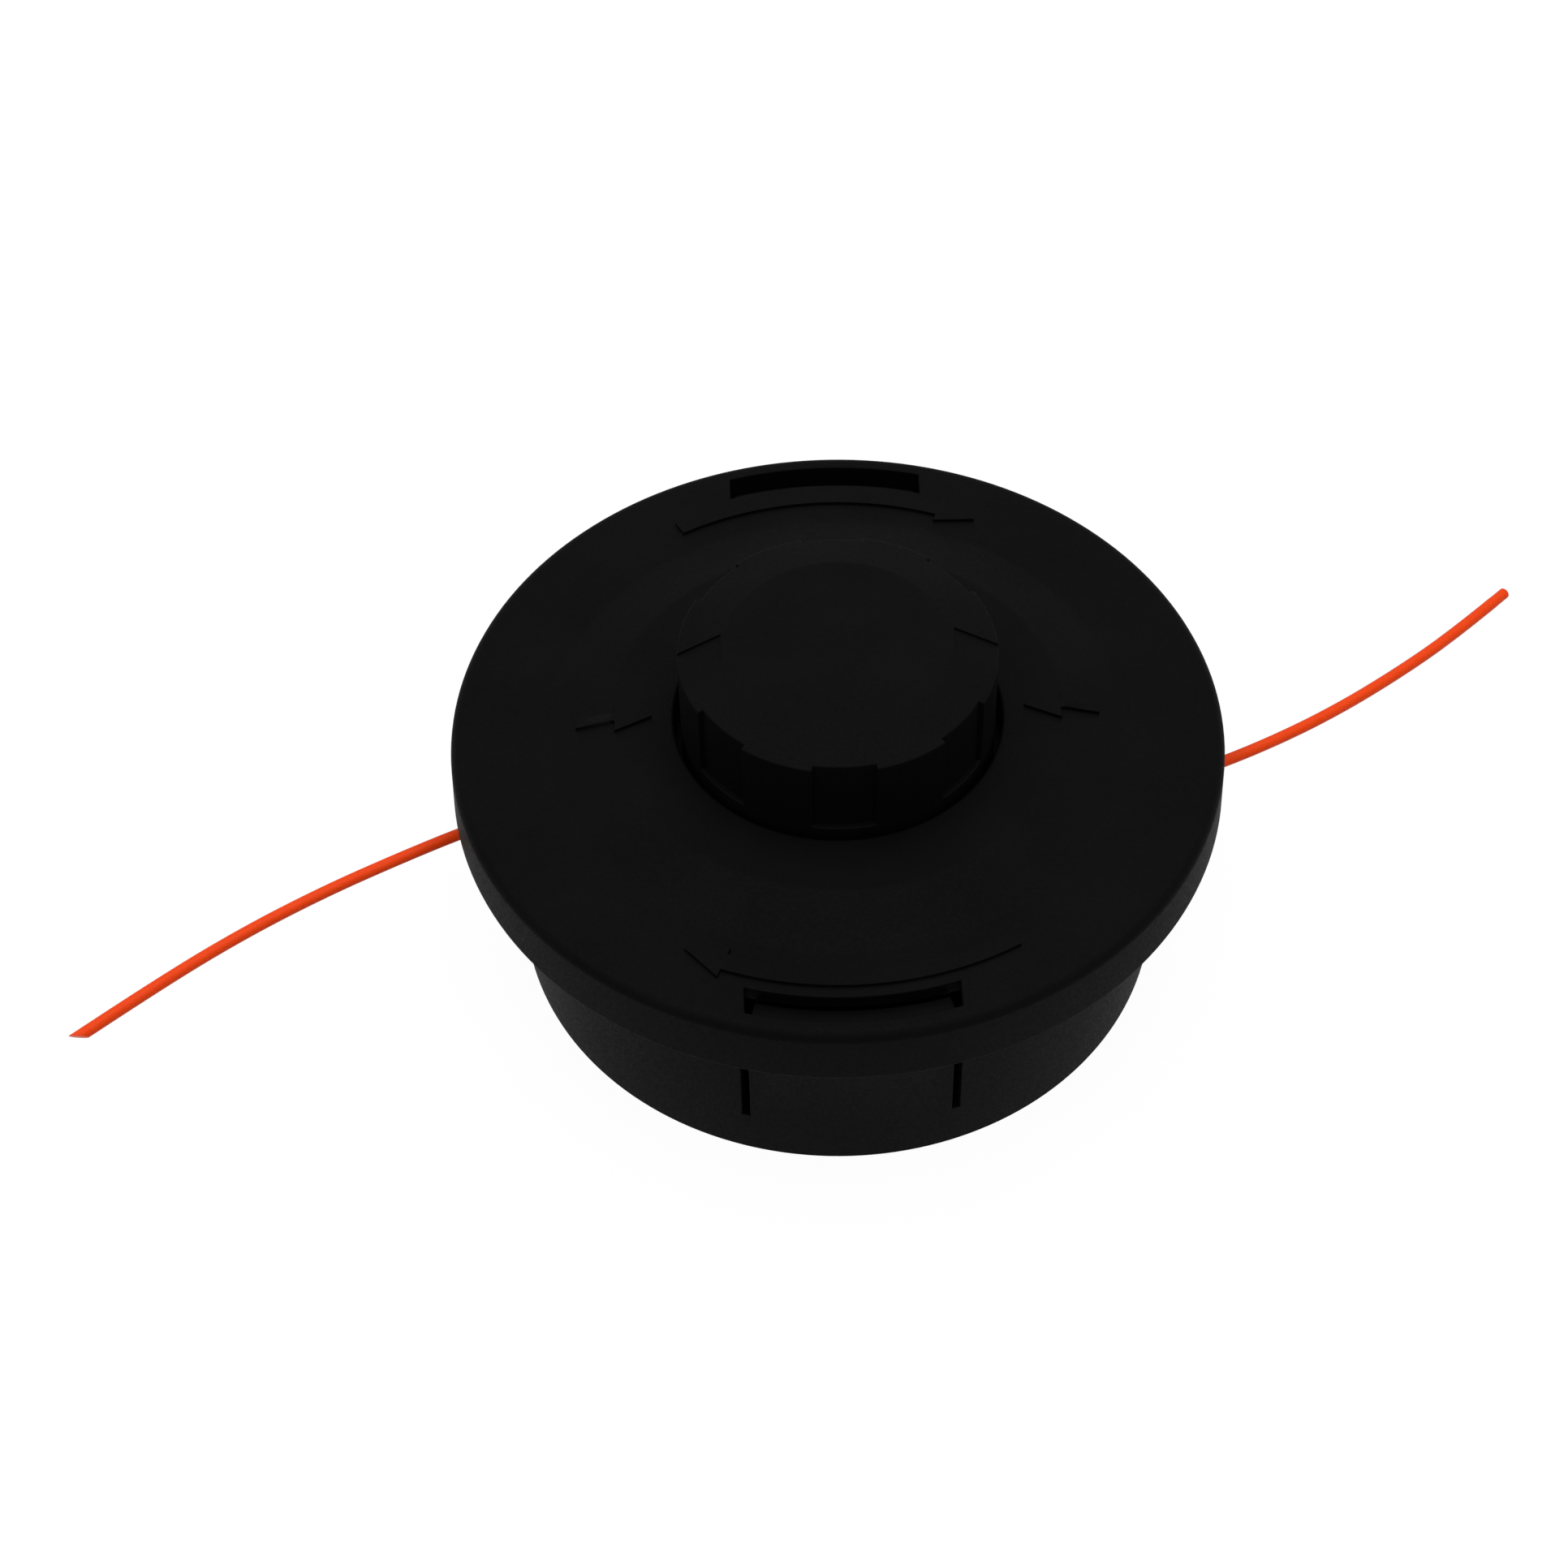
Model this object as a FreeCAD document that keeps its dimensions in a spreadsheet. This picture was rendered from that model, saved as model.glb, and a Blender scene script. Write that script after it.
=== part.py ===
import FreeCAD, Part
import math
import os
import re
import Sketcher

# Bump feed trimmer head, standing on its gearbox side with the bump knob up.
# The drive axis is +Z, the foot stands at z = 0, the latches face -Y and +Y, the line leaves at +X and -X.

# Driving dimensions in millimetres and degrees: each size that can be set by itself has one name.
SIZES = {
    # Clearances
    "fit_gap": 0.3,          # between mouldings that fit into each other
    "axial_gap": 0.3,        # between faces that turn or land on each other
    "running_gap": 0.06,     # of what turns or slides on the post
    "press_gap": 0.05,       # round metal pieces set into the housing
    "seat_gap": 0.15,        # of the knob on its seat and of the line in its bays
    # Cap
    "cap_radius": 62.5,      # rim band at its lower edge
    "rim_draft": 0.4,        # the band is this much narrower at its upper edge
    "rim_round": 1.2,        # rounding of the upper edge
    "band_height": 9.9,
    "skirt_wall": 2.1,
    "cap_wall": 2.6,         # thickness of the plate
    "plateau_rise": 2.55,    # the plate's middle stands this much above its outer zone
    "cone_outer": 46.3,      # radius where the plate starts to rise
    "cone_inner": 36.4,      # radius where the rise ends
    "hole_round": 0.5,       # rounding of the hole's edge
    "guide_wall": 1.8,       # collar under the hole
    "guide_depth": 3.2,
    # Marks raised on the cap
    "mark_rise": 0.6,
    "turn_mark_radius": 51.4,
    "turn_mark_width": 2.9,
    "turn_mark_half": 29.2,  # half the angle from tail to tip
    "turn_head_angle": 7.3,
    "turn_head_half": 2.9,
    "aim_tip": 29.8,         # radial marks: radius of the tip
    "aim_base": 35.7,        # radius of the head's back
    "aim_half": 2.9,
    "aim_tail": 42.0,
    "aim_shaft_angle": 2.6,
    # Latches
    "latch_half": 18.2,      # angle from a latch's middle to its slits
    "slit_width": 1.3,
    "slit_bottom": 9.1,
    "window_reach": 16.25,   # from a window's middle to its straight ends
    "window_width": 4.4,
    "latch_pad": 1.3,        # the skirt is this much thicker outside a window
    "nose_half": 15.6,
    "nose_drop": 0.5,        # the nose ends this much below the plate
    "nose_lead": 0.8,        # slant of the nose's upper edge
    "hook_depth": 1.8,       # reach of the snap rib
    "rib_rise": 0.8,         # snap rib above the band's lower edge
    "rib_height": 2.4,
    "rib_slant": 1.4,
    # Housing
    "overhang": 9.0,         # the cap's band stands this much outside the cup
    "cup_wall": 2.2,
    "flare_drop": 3.0,       # the cup starts to widen this much below the band
    "flare_lap": 1.5,        # and is at full width this much above the band's lower edge
    "flare_shift": 1.2,      # the inner side widens this much higher up
    "foot_round": 0.4,
    "floor_rise": 2.3,       # underside of the floor above the foot
    "floor_wall": 2.25,
    "stay_count": 8,         # ribs under the floor
    "stay_wall": 1.8,
    "stay_set": 0.8,         # the ribs stand this much back from the foot
    "boss_wall": 3.0,
    "boss_roof": 3.0,
    "post_radius": 8.0,
    "post_lead": 1.5,
    "shaft_radius": 5.3,     # clearance bore for the end of the machine's shaft
    "shaft_depth": 30.0,
    # Drive nut
    "nut_flats": 17.0,
    "nut_height": 10.0,
    "nut_recess": 0.5,
    "seat_mouth": 3.0,       # depth of the round mouth of the nut's seat
    "thread_radius": 4.46,   # bored wall of the M10 x 1 thread
    "thread_lead": 0.8,
    # Line outlets
    "eyelet_height": 26.0,
    "eyelet_offset": 1.1,
    "eyelet_bore": 2.0,
    "eyelet_wall": 1.2,
    "eyelet_flange": 1.4,
    "eyelet_lip": 0.8,
    "eyelet_round": 0.5,
    "pad_radius": 5.6,
    "pad_out": 1.3,
    "line_diameter": 2.0,
    # Spring and its seat
    "wire": 1.8,
    "spring_gap": 1.2,       # room inside and outside the spring
    "spring_turns": 6,
    "washer_wall": 1.5,
    # Spool
    "travel": 5.0,           # bump stroke
    "spool_gap": 1.3,
    "flange_wall": 2.2,
    "divider_wall": 1.6,
    "divider_set": 1.0,      # the divider is this much smaller than the flanges
    "hub_wall": 2.2,
    "turns_high": 4,         # line turns in the height of a bay
    "coil_margin": 6.0,      # the wound line ends this much inside the flanges
    "coil_notch": 0.35,
    "web_drop": 5.0,
    "web_wall": 2.5,
    "sleeve_wall": 2.6,
    "sleeve_rise": 6.0,
    "park_width": 2.3,       # slots that hold the line's ends
    "park_depth": 4.0,
    # Ratchet ramps of the spool, the cap and the floor
    "ramp_count": 6,
    "ramp_inner": 29.8,
    "ramp_outer": 35.2,
    "ramp_width": 9.0,
    "ramp_land": 2.5,
    "ramp_height": 3.0,
    # Bump knob
    "knob_radius": 25.2,
    "knob_rise": 16.15,      # top of the knob above the cap
    "knob_flat": 17.6,
    "knob_bevel": 1.7,
    "knob_gap": 1.1,         # ring gap in the cap's hole
    "knob_wall": 2.4,
    "knob_crown": 3.4,
    "grip_half": 11.4,       # side pockets
    "grip_step": 49.8,
    "grip_depth": 0.9,
    "grip_floor": 1.2,       # their floors above the cap
    "pointer_base": 18.3,
    "pointer_tip": 26.2,
    "pointer_half": 2.9,
    "pointer_depth": 0.4,    # floor of the pointers below the bevel
    "seat_wall": 2.0,
    "seat_height": 6.0,
    "bead_rise": 3.2,
    "bead_height": 1.2,
    "bead_depth": 0.5,
    "bead_slant": 0.35,
}

# Routes of the free line ends as (x, y), chosen by hand: out of an eyelet, then in a loose bend.
LINE_RIGHT = [(50.6, -0.1), (60.4, 3.4), (71.5, 8.3), (83.5, 14.8), (95.8, 23.0), (108.2, 32.5),
              (118.9, 42.2)]
LINE_LEFT = [(-50.6, 0.1), (-60.4, -4.1), (-71.5, -9.65), (-83.5, -16.2), (-95.8, -24.1), (-108.2, -33.6),
             (-120.7, -44.3)]
BEND_REACH = 0.45   # share of the shorter run that a bend of the line takes up

# Levels from the foot upwards
FLOOR = "(floor_rise + floor_wall)"
SPOOL_BOTTOM = f"({FLOOR} + 2 * ramp_height + axial_gap + travel)"
BAY = "(turns_high * line_diameter + 2 * seat_gap)"
LOWER_BAY = f"({SPOOL_BOTTOM} + flange_wall)"
DIVIDER = f"({LOWER_BAY} + {BAY})"
UPPER_BAY = f"({DIVIDER} + divider_wall)"
UPPER_FLANGE = f"({UPPER_BAY} + {BAY})"
SPOOL_TOP = f"({UPPER_FLANGE} + flange_wall)"
WEB = f"({SPOOL_TOP} - web_drop)"
WEB_TOP = f"({WEB} + web_wall)"
SLEEVE_TOP = f"({WEB_TOP} + sleeve_rise)"
WASHER = f"({WEB} - axial_gap - washer_wall)"
PLATEAU_UNDER = f"({SPOOL_TOP} + 2 * ramp_height + axial_gap)"
PLATEAU = f"({PLATEAU_UNDER} + cap_wall)"
CAP_TOP = f"({PLATEAU} - plateau_rise)"
CAP_UNDER = f"({CAP_TOP} - cap_wall)"
BAND = f"({CAP_TOP} - band_height)"
FLARE = f"({BAND} - flare_drop)"
RIB = f"({BAND} + rib_rise)"
NOSE = f"({RIB} + rib_height + fit_gap)"
NOSE_TOP = f"({CAP_UNDER} - nose_drop)"
KNOB_TOP = f"({PLATEAU} + knob_rise)"
KNOB_EDGE = f"({KNOB_TOP} - knob_bevel)"
BEAD = f"({SPOOL_TOP} + bead_rise)"
NUT_TOP = "(nut_recess + nut_height)"
BOSS_TOP = f"({NUT_TOP} + boss_roof)"
POST_TOP = f"({SLEEVE_TOP} + post_lead)"

# Radii from the rim inwards, and from the drive axis outwards
SKIRT_IN = "(cap_radius - skirt_wall)"
COLLAR = f"({SKIRT_IN} - fit_gap)"
WINDOW_OUT = f"({SKIRT_IN} - latch_pad)"
WINDOW_IN = f"({WINDOW_OUT} - window_width)"
RIB_IN = f"({WINDOW_OUT} - hook_depth)"
NOSE_OUT = f"({WINDOW_OUT} - fit_gap)"
STEM = f"({RIB_IN} - fit_gap)"
CUP = "(cap_radius - overhang)"
CUP_IN = f"({CUP} - cup_wall)"
PAD_FACE = f"({CUP} + pad_out)"
SPOOL = f"({CUP_IN} - spool_gap)"
NUT_CORNER = "(nut_flats / 2 / cos(30))"
BOSS = f"({NUT_CORNER} + press_gap + boss_wall)"
SPRING = f"({BOSS} + spring_gap + wire / 2)"
HUB_IN = f"({SPRING} + wire / 2 + spring_gap)"
HUB = f"({HUB_IN} + hub_wall)"
POST_FIT = "(post_radius + running_gap)"
KNOB_IN = "(knob_radius - knob_wall)"
SEAT = f"({KNOB_IN} - seat_gap)"
HOLE = "(knob_radius + knob_gap)"
EYELET = "(eyelet_bore + eyelet_wall)"
SLIT_ANGLE = f"(slit_width / {CUP} * 90 / pi)"

FRONT, RIGHT, BACK = "270", "0", "90"   # azimuths of the latches and of the line outlets

doc = FreeCAD.newDocument("TrimmerHead")
sheet = doc.addObject("Spreadsheet::Sheet", "Sizes")
for row, (alias, value) in enumerate(SIZES.items(), start=1):
    sheet.set(f"A{row}", alias)
    sheet.set(f"B{row}", str(value))
    sheet.setAlias(f"B{row}", alias)
doc.recompute()

ALIASES = re.compile(r"\b(" + "|".join(SIZES) + r")\b")
SAME_PLACE = 0.01   # two measures closer than this are the same edge
UPRIGHT = 1e-6      # a direction this close to the drive axis is along it
subparts = {}


def bound(expression):
    """The expression with every size pointing at its cell of the sheet."""
    return ALIASES.sub(r"Sizes.\1", str(expression))


def number(expression):
    """The present value of an expression of sizes."""
    return float(sheet.evalExpression(bound(expression)))


def new_body(label):
    """A body for one moulded or turned piece, which is written out under its label."""
    body = doc.addObject("PartDesign::Body", label)
    body.Label = label
    subparts[label] = body
    return body


def origin(body, role):
    """A plane or axis of the body's own origin."""
    return next(item for item in body.Origin.OriginFeatures if item.Role == role)


def pin_point(sketch, geometry, position, x, y):
    """Hold a point of a sketch at a place given by two expressions."""
    for kind, expression in (("DistanceX", x), ("DistanceY", y)):
        index = sketch.addConstraint(
            Sketcher.Constraint(kind, -1, 1, geometry, position, number(expression)))
        sketch.setExpression(f"Constraints[{index}]", bound(expression))


def draw_outline(sketch, corners):
    """A closed outline of straight lines through the corners."""
    places = [FreeCAD.Vector(number(x), number(y), 0) for x, y in corners]
    first = sketch.GeometryCount
    count = len(places)
    for index in range(count):
        sketch.addGeometry(Part.LineSegment(places[index], places[(index + 1) % count]), False)
    for index in range(count):
        after = first + (index + 1) % count
        sketch.addConstraint(Sketcher.Constraint("Coincident", first + index, 2, after, 1))
    for index, (x, y) in enumerate(corners):
        pin_point(sketch, first + index, 1, x, y)


def draw_circle(sketch, x, y, radius):
    """A circle held at its centre and by its radius."""
    centre = FreeCAD.Vector(number(x), number(y), 0)
    index = sketch.addGeometry(Part.Circle(centre, FreeCAD.Vector(0, 0, 1), number(radius)), False)
    pin_point(sketch, index, 3, x, y)
    size = sketch.addConstraint(Sketcher.Constraint("Radius", index, number(radius)))
    sketch.setExpression(f"Constraints[{size}]", bound(radius))


def draw_arched_slot(sketch, inner, outer, reach):
    """A slot between two circles about the drive axis, on the side of +Y, with straight parallel ends."""
    arcs = []
    ends = []
    for radius in (inner, outer):
        size = number(radius)
        first = math.acos(number(reach) / size)
        circle = Part.Circle(FreeCAD.Vector(), FreeCAD.Vector(0, 0, 1), size)
        arc = Part.ArcOfCircle(circle, first, math.pi - first)
        index = sketch.addGeometry(arc, False)
        sketch.addConstraint(Sketcher.Constraint("Coincident", index, 3, -1, 1))
        held = sketch.addConstraint(Sketcher.Constraint("Radius", index, size))
        sketch.setExpression(f"Constraints[{held}]", bound(radius))
        arcs.append(index)
        ends.append((arc.StartPoint, arc.EndPoint))
    for end, side in enumerate(("1", "-1")):
        line = sketch.addGeometry(Part.LineSegment(ends[0][end], ends[1][end]), False)
        sketch.addConstraint(Sketcher.Constraint("Coincident", line, 1, arcs[0], end + 1))
        sketch.addConstraint(Sketcher.Constraint("Coincident", line, 2, arcs[1], end + 1))
        sketch.addConstraint(Sketcher.Constraint("Vertical", line))
        place = f"{side} * {reach}"
        held = sketch.addConstraint(Sketcher.Constraint("DistanceX", -1, 1, line, 1, number(place)))
        sketch.setExpression(f"Constraints[{held}]", bound(place))


def new_sketch(body, name, plane, outlines=(), circles=(), offset="0", azimuth="0", tilt="0"):
    """A sketch on a plane of the body's origin, moved along its normal and turned about its second axis.

    An upright plane turns about the drive axis by its azimuth, and the level plane leans by its tilt.
    """
    sketch = body.newObject("Sketcher::SketchObject", name)
    sketch.AttachmentSupport = [(origin(body, plane), "")]
    sketch.MapMode = "FlatFace"
    angle = azimuth if number(azimuth) else tilt
    if number(angle):
        turned = FreeCAD.Rotation(FreeCAD.Vector(0, 1, 0), number(angle))
        sketch.AttachmentOffset = FreeCAD.Placement(FreeCAD.Vector(), turned)
        sketch.setExpression("AttachmentOffset.Rotation.Angle", bound(angle))
    sketch.setExpression("AttachmentOffset.Base.z", bound(offset))
    for corners in outlines:
        draw_outline(sketch, corners)
    for circle in circles:
        draw_circle(sketch, *circle)
    return sketch


def revolve(body, name, corners, span=None, azimuth="0", cut=False):
    """Turn an outline of (radius, height) corners about the drive axis, all round or over a span."""
    sketch = new_sketch(body, name + "_outline", "XZ_Plane", [corners], azimuth=azimuth)
    feature = body.newObject("PartDesign::Groove" if cut else "PartDesign::Revolution", name)
    feature.Profile = sketch
    feature.ReferenceAxis = (sketch, ["V_Axis"])
    feature.Angle = 360
    if span:
        feature.setExpression("Angle", bound(span))
        feature.Midplane = True
    doc.recompute()
    return feature


def extrude(body, name, sketch, length, cut=False, backwards=False):
    """Pad or pocket a sketch along its normal; a pocket goes against it unless it is backwards."""
    feature = body.newObject("PartDesign::Pocket" if cut else "PartDesign::Pad", name)
    feature.Profile = sketch
    feature.Length = number(length)
    feature.setExpression("Length", bound(length))
    feature.Reversed = backwards
    doc.recompute()
    return feature


def repeat(body, name, features, count):
    """Repeat features evenly round the drive axis."""
    feature = body.newObject("PartDesign::PolarPattern", name)
    feature.Originals = features
    feature.Axis = (origin(body, "Z_Axis"), [""])
    feature.Angle = 360
    feature.setExpression("Occurrences", bound(count))
    body.Tip = feature
    doc.recompute()
    return feature


def round_rings(body, name, radius, rings):
    """Round the circular edges that have the given (radius, height)."""
    base = body.Tip
    wanted = [(number(ring), number(height)) for ring, height in rings]
    edges = []
    for index, edge in enumerate(base.Shape.Edges, start=1):
        curve = edge.Curve
        if not isinstance(curve, Part.Circle) or abs(abs(curve.Axis.z) - 1) > UPRIGHT:
            continue
        for ring, height in wanted:
            if abs(curve.Radius - ring) < SAME_PLACE and abs(curve.Center.z - height) < SAME_PLACE:
                edges.append(f"Edge{index}")
    feature = body.newObject("PartDesign::Fillet", name)
    feature.Base = (base, edges)
    feature.setExpression("Radius", bound(radius))
    doc.recompute()
    return feature


def radial_slot(azimuth, inner, outer, width):
    """Corners of a straight slot with parallel sides, seen along the drive axis."""
    along, across = f"cos({azimuth})", f"sin({azimuth})"
    corners = []
    for radius, side in ((inner, "-"), (outer, "-"), (outer, "+"), (inner, "+")):
        x = f"({radius}) * {along} - (0 {side} {width} / 2) * {across}"
        y = f"({radius}) * {across} + (0 {side} {width} / 2) * {along}"
        corners.append((x, y))
    return corners


def add_ramps(body, name, plane, level, up):
    """A ring of ratchet ramps on a flat face: each has one upright and one slanted flank."""
    rise = f"{level} {'+' if up else '-'} ramp_height"
    corners = [("-ramp_width / 2", level), ("ramp_width / 2", level), ("ramp_width / 2", rise),
               ("ramp_width / 2 - ramp_land", rise)]
    if plane == "XZ_Plane":
        sketch = new_sketch(body, name + "_outline", plane, [corners], offset="-ramp_outer")
    else:
        sketch = new_sketch(body, name + "_outline", plane, [corners], offset="ramp_inner")
    ramp = extrude(body, name + "_first", sketch, "ramp_outer - ramp_inner")
    return repeat(body, name, [ramp], "ramp_count")


def make_housing():
    """The moulded cup: floor, wall with two latch tongues, drive boss and the post that guides the spool."""
    body = new_body("housing")
    revolve(body, "cup", [
        ("0", "0"), (BOSS, "0"), (BOSS, "floor_rise"), (CUP_IN, "floor_rise"), (CUP_IN, "0"), (CUP, "0"),
        (CUP, FLARE), (COLLAR, f"{BAND} + flare_lap"), (COLLAR, CAP_UNDER), (f"{COLLAR} - cup_wall", CAP_UNDER),
        (f"{COLLAR} - cup_wall", f"{BAND} + flare_lap + flare_shift"),
        (CUP_IN, f"{FLARE} + flare_shift"), (CUP_IN, FLOOR), (BOSS, FLOOR), (BOSS, BOSS_TOP),
        ("post_radius", BOSS_TOP), ("post_radius", f"{POST_TOP} - post_lead / 2"),
        ("post_radius - post_lead / 2", POST_TOP), ("0", POST_TOP)])
    round_rings(body, "foot_edge", "foot_round", [(CUP, "0")])

    # Six-sided seat of the drive nut with a round mouth, and the bore for the shaft's end
    seat = new_sketch(body, "nut_seat_outline", "XY_Plane", [hexagon(f"{NUT_CORNER} + press_gap")])
    extrude(body, "nut_seat", seat, NUT_TOP, cut=True, backwards=True)
    mouth = new_sketch(body, "seat_mouth_outline", "XY_Plane",
                       circles=[("0", "0", f"{NUT_CORNER} + press_gap")])
    extrude(body, "seat_mouth", mouth, "seat_mouth", cut=True, backwards=True)
    bore = new_sketch(body, "shaft_bore_outline", "XY_Plane", circles=[("0", "0", "shaft_radius")])
    extrude(body, "shaft_bore", bore, "shaft_depth", cut=True, backwards=True)

    # Ribs under the floor
    stay = [("-stay_wall / 2", f"{BOSS} - boss_wall / 2"), ("stay_wall / 2", f"{BOSS} - boss_wall / 2"),
            ("stay_wall / 2", f"{CUP} - cup_wall / 2"), ("-stay_wall / 2", f"{CUP} - cup_wall / 2")]
    stay_sketch = new_sketch(body, "stay_outline", "XY_Plane", [stay], offset="stay_set")
    first_stay = extrude(body, "first_stay", stay_sketch, "floor_rise + floor_wall / 2 - stay_set")
    repeat(body, "stays", [first_stay], "stay_count")
    add_ramps(body, "floor_ramps", "YZ_Plane", FLOOR, up=True)

    # Each latch: two slits free a tongue of the wall, whose upper end is set back from the collar
    # and carries the nose that hooks over the cap's snap rib.
    clear = revolve(body, "latch_room", [
        (f"{CUP_IN} - cup_wall", FLARE), (f"{COLLAR} + cup_wall", FLARE),
        (f"{COLLAR} + cup_wall", f"{CAP_UNDER} + cup_wall"),
        (f"{CUP_IN} - cup_wall", f"{CAP_UNDER} + cup_wall")],
        span=f"2 * (latch_half + {SLIT_ANGLE})", azimuth=BACK, cut=True)
    repeat(body, "latch_rooms", [clear], "2")
    slits = [radial_slot(f"({middle} {side} latch_half)", f"{CUP_IN} - cup_wall", f"{CUP} + cup_wall",
                         "slit_width") for middle in (FRONT, BACK) for side in "+-"]
    slit_sketch = new_sketch(body, "slit_outline", "XY_Plane", slits, offset="slit_bottom")
    extrude(body, "slits", slit_sketch, f"{FLARE} - slit_bottom + cup_wall", cut=True, backwards=True)
    knee = f"{RIB} - fit_gap"
    tongue = revolve(body, "tongue", [
        (CUP_IN, f"{FLARE} - cup_wall"), (CUP, f"{FLARE} - cup_wall"), (CUP, FLARE), (STEM, knee),
        (STEM, NOSE), (NOSE_OUT, NOSE), (NOSE_OUT, f"{NOSE_TOP} - nose_lead"),
        (f"{NOSE_OUT} - nose_lead", NOSE_TOP), (f"{STEM} - cup_wall", NOSE_TOP),
        (f"{STEM} - cup_wall", f"{knee} + flare_shift"), (CUP_IN, f"{FLARE} + flare_shift")],
        span="2 * nose_half", azimuth=BACK)
    repeat(body, "tongues", [tongue], "2")

    # Line outlets: a flat pad on the wall, bored for its eyelet
    pad_sketch = new_sketch(body, "pad_outline", "YZ_Plane", offset=PAD_FACE,
                            circles=[("eyelet_offset", "eyelet_height", "pad_radius")])
    pad = extrude(body, "pad", pad_sketch, "pad_out + cup_wall / 2", backwards=True)
    repeat(body, "pads", [pad], "2")
    outlet_sketch = new_sketch(body, "outlet_outline", "YZ_Plane", offset=PAD_FACE,
                               circles=[("eyelet_offset", "eyelet_height", f"{EYELET} + press_gap")])
    outlet = extrude(body, "outlet", outlet_sketch, "pad_out + 2 * cup_wall", cut=True)
    repeat(body, "outlets", [outlet], "2")


def hexagon(corner):
    """Corners of a six-sided outline about the drive axis."""
    return [(f"({corner}) * cos({angle})", f"({corner}) * sin({angle})") for angle in range(0, 360, 60)]


def make_drive_nut():
    """The steel nut that takes the machine's left-hand shaft thread."""
    body = new_body("drive_nut")
    blank = new_sketch(body, "blank_outline", "XY_Plane", [hexagon(NUT_CORNER)], offset="nut_recess")
    extrude(body, "blank", blank, "nut_height")
    outer_lead = "(thread_radius + thread_lead)"
    revolve(body, "bore", [
        ("0", "nut_recess"), (outer_lead, "nut_recess"), ("thread_radius", "nut_recess + thread_lead"),
        ("thread_radius", f"{NUT_TOP} - thread_lead"), (outer_lead, NUT_TOP), ("0", NUT_TOP)], cut=True)


def make_eyelet(label, side):
    """A turned metal sleeve that guides the line through the wall; side is +1 for +X and -1 for -X."""
    body = new_body(label)
    flange = f"({EYELET} + eyelet_flange)"
    revolve(body, "sleeve", [
        ("eyelet_bore", "-pad_out - cup_wall"), (EYELET, "-pad_out - cup_wall"), (EYELET, "0"),
        (flange, "0"), (flange, "eyelet_lip"), ("eyelet_bore", "eyelet_lip")])
    round_rings(body, "mouths", "eyelet_round", [("eyelet_bore", "-pad_out - cup_wall"),
                                                 ("eyelet_bore", "eyelet_lip")])
    body.Placement.Rotation = FreeCAD.Rotation(FreeCAD.Vector(0, 1, 0), 90 * side)
    for axis, place in (("x", f"{side} * {PAD_FACE}"), ("y", f"{side} * eyelet_offset"),
                        ("z", "eyelet_height")):
        body.setExpression(f"Placement.Base.{axis}", bound(place))


def make_spring():
    """The coil spring between the floor and the washer, with ends ground flat."""
    length = f"({WASHER} - {FLOOR})"
    start = f"({FLOOR} - wire / 4)"
    path = doc.addObject("Part::Helix", "spring_path")
    path.setExpression("Radius", bound(SPRING))
    path.setExpression("Height", bound(f"{length} + wire / 2"))
    path.setExpression("Pitch", bound(f"({length} + wire / 2) / spring_turns"))
    path.setExpression("Placement.Base.z", bound(start))
    section = doc.addObject("Part::Circle", "spring_section")
    section.setExpression("Radius", bound("wire / 2"))
    section.Placement.Rotation = FreeCAD.Rotation(FreeCAD.Vector(1, 0, 0), 90)
    section.setExpression("Placement.Base.x", bound(SPRING))
    section.setExpression("Placement.Base.z", bound(start))
    doc.recompute()
    coil = doc.addObject("Part::Sweep", "spring_coil")
    coil.Sections = [section]
    coil.Spine = (path, [f"Edge{index}" for index in range(1, len(path.Shape.Edges) + 1)])
    coil.Solid = True
    coil.Frenet = True
    room = doc.addObject("Part::Cylinder", "spring_room")
    room.setExpression("Radius", bound(HUB_IN))
    room.setExpression("Height", bound(length))
    room.setExpression("Placement.Base.z", bound(FLOOR))
    spring = doc.addObject("Part::Common", "spring")
    spring.Base = coil
    spring.Tool = room
    spring.Label = "spring"
    subparts["spring"] = spring
    doc.recompute()


def make_thrust_washer():
    """The flat ring between spring and spool: it slides on the post and lets the spool turn on it."""
    body = new_body("thrust_washer")
    outer = f"({SPRING} + wire / 2 + spring_gap / 2)"
    revolve(body, "ring", [(POST_FIT, WASHER), (outer, WASHER), (outer, f"{WASHER} + washer_wall"),
                           (POST_FIT, f"{WASHER} + washer_wall")])


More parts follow.
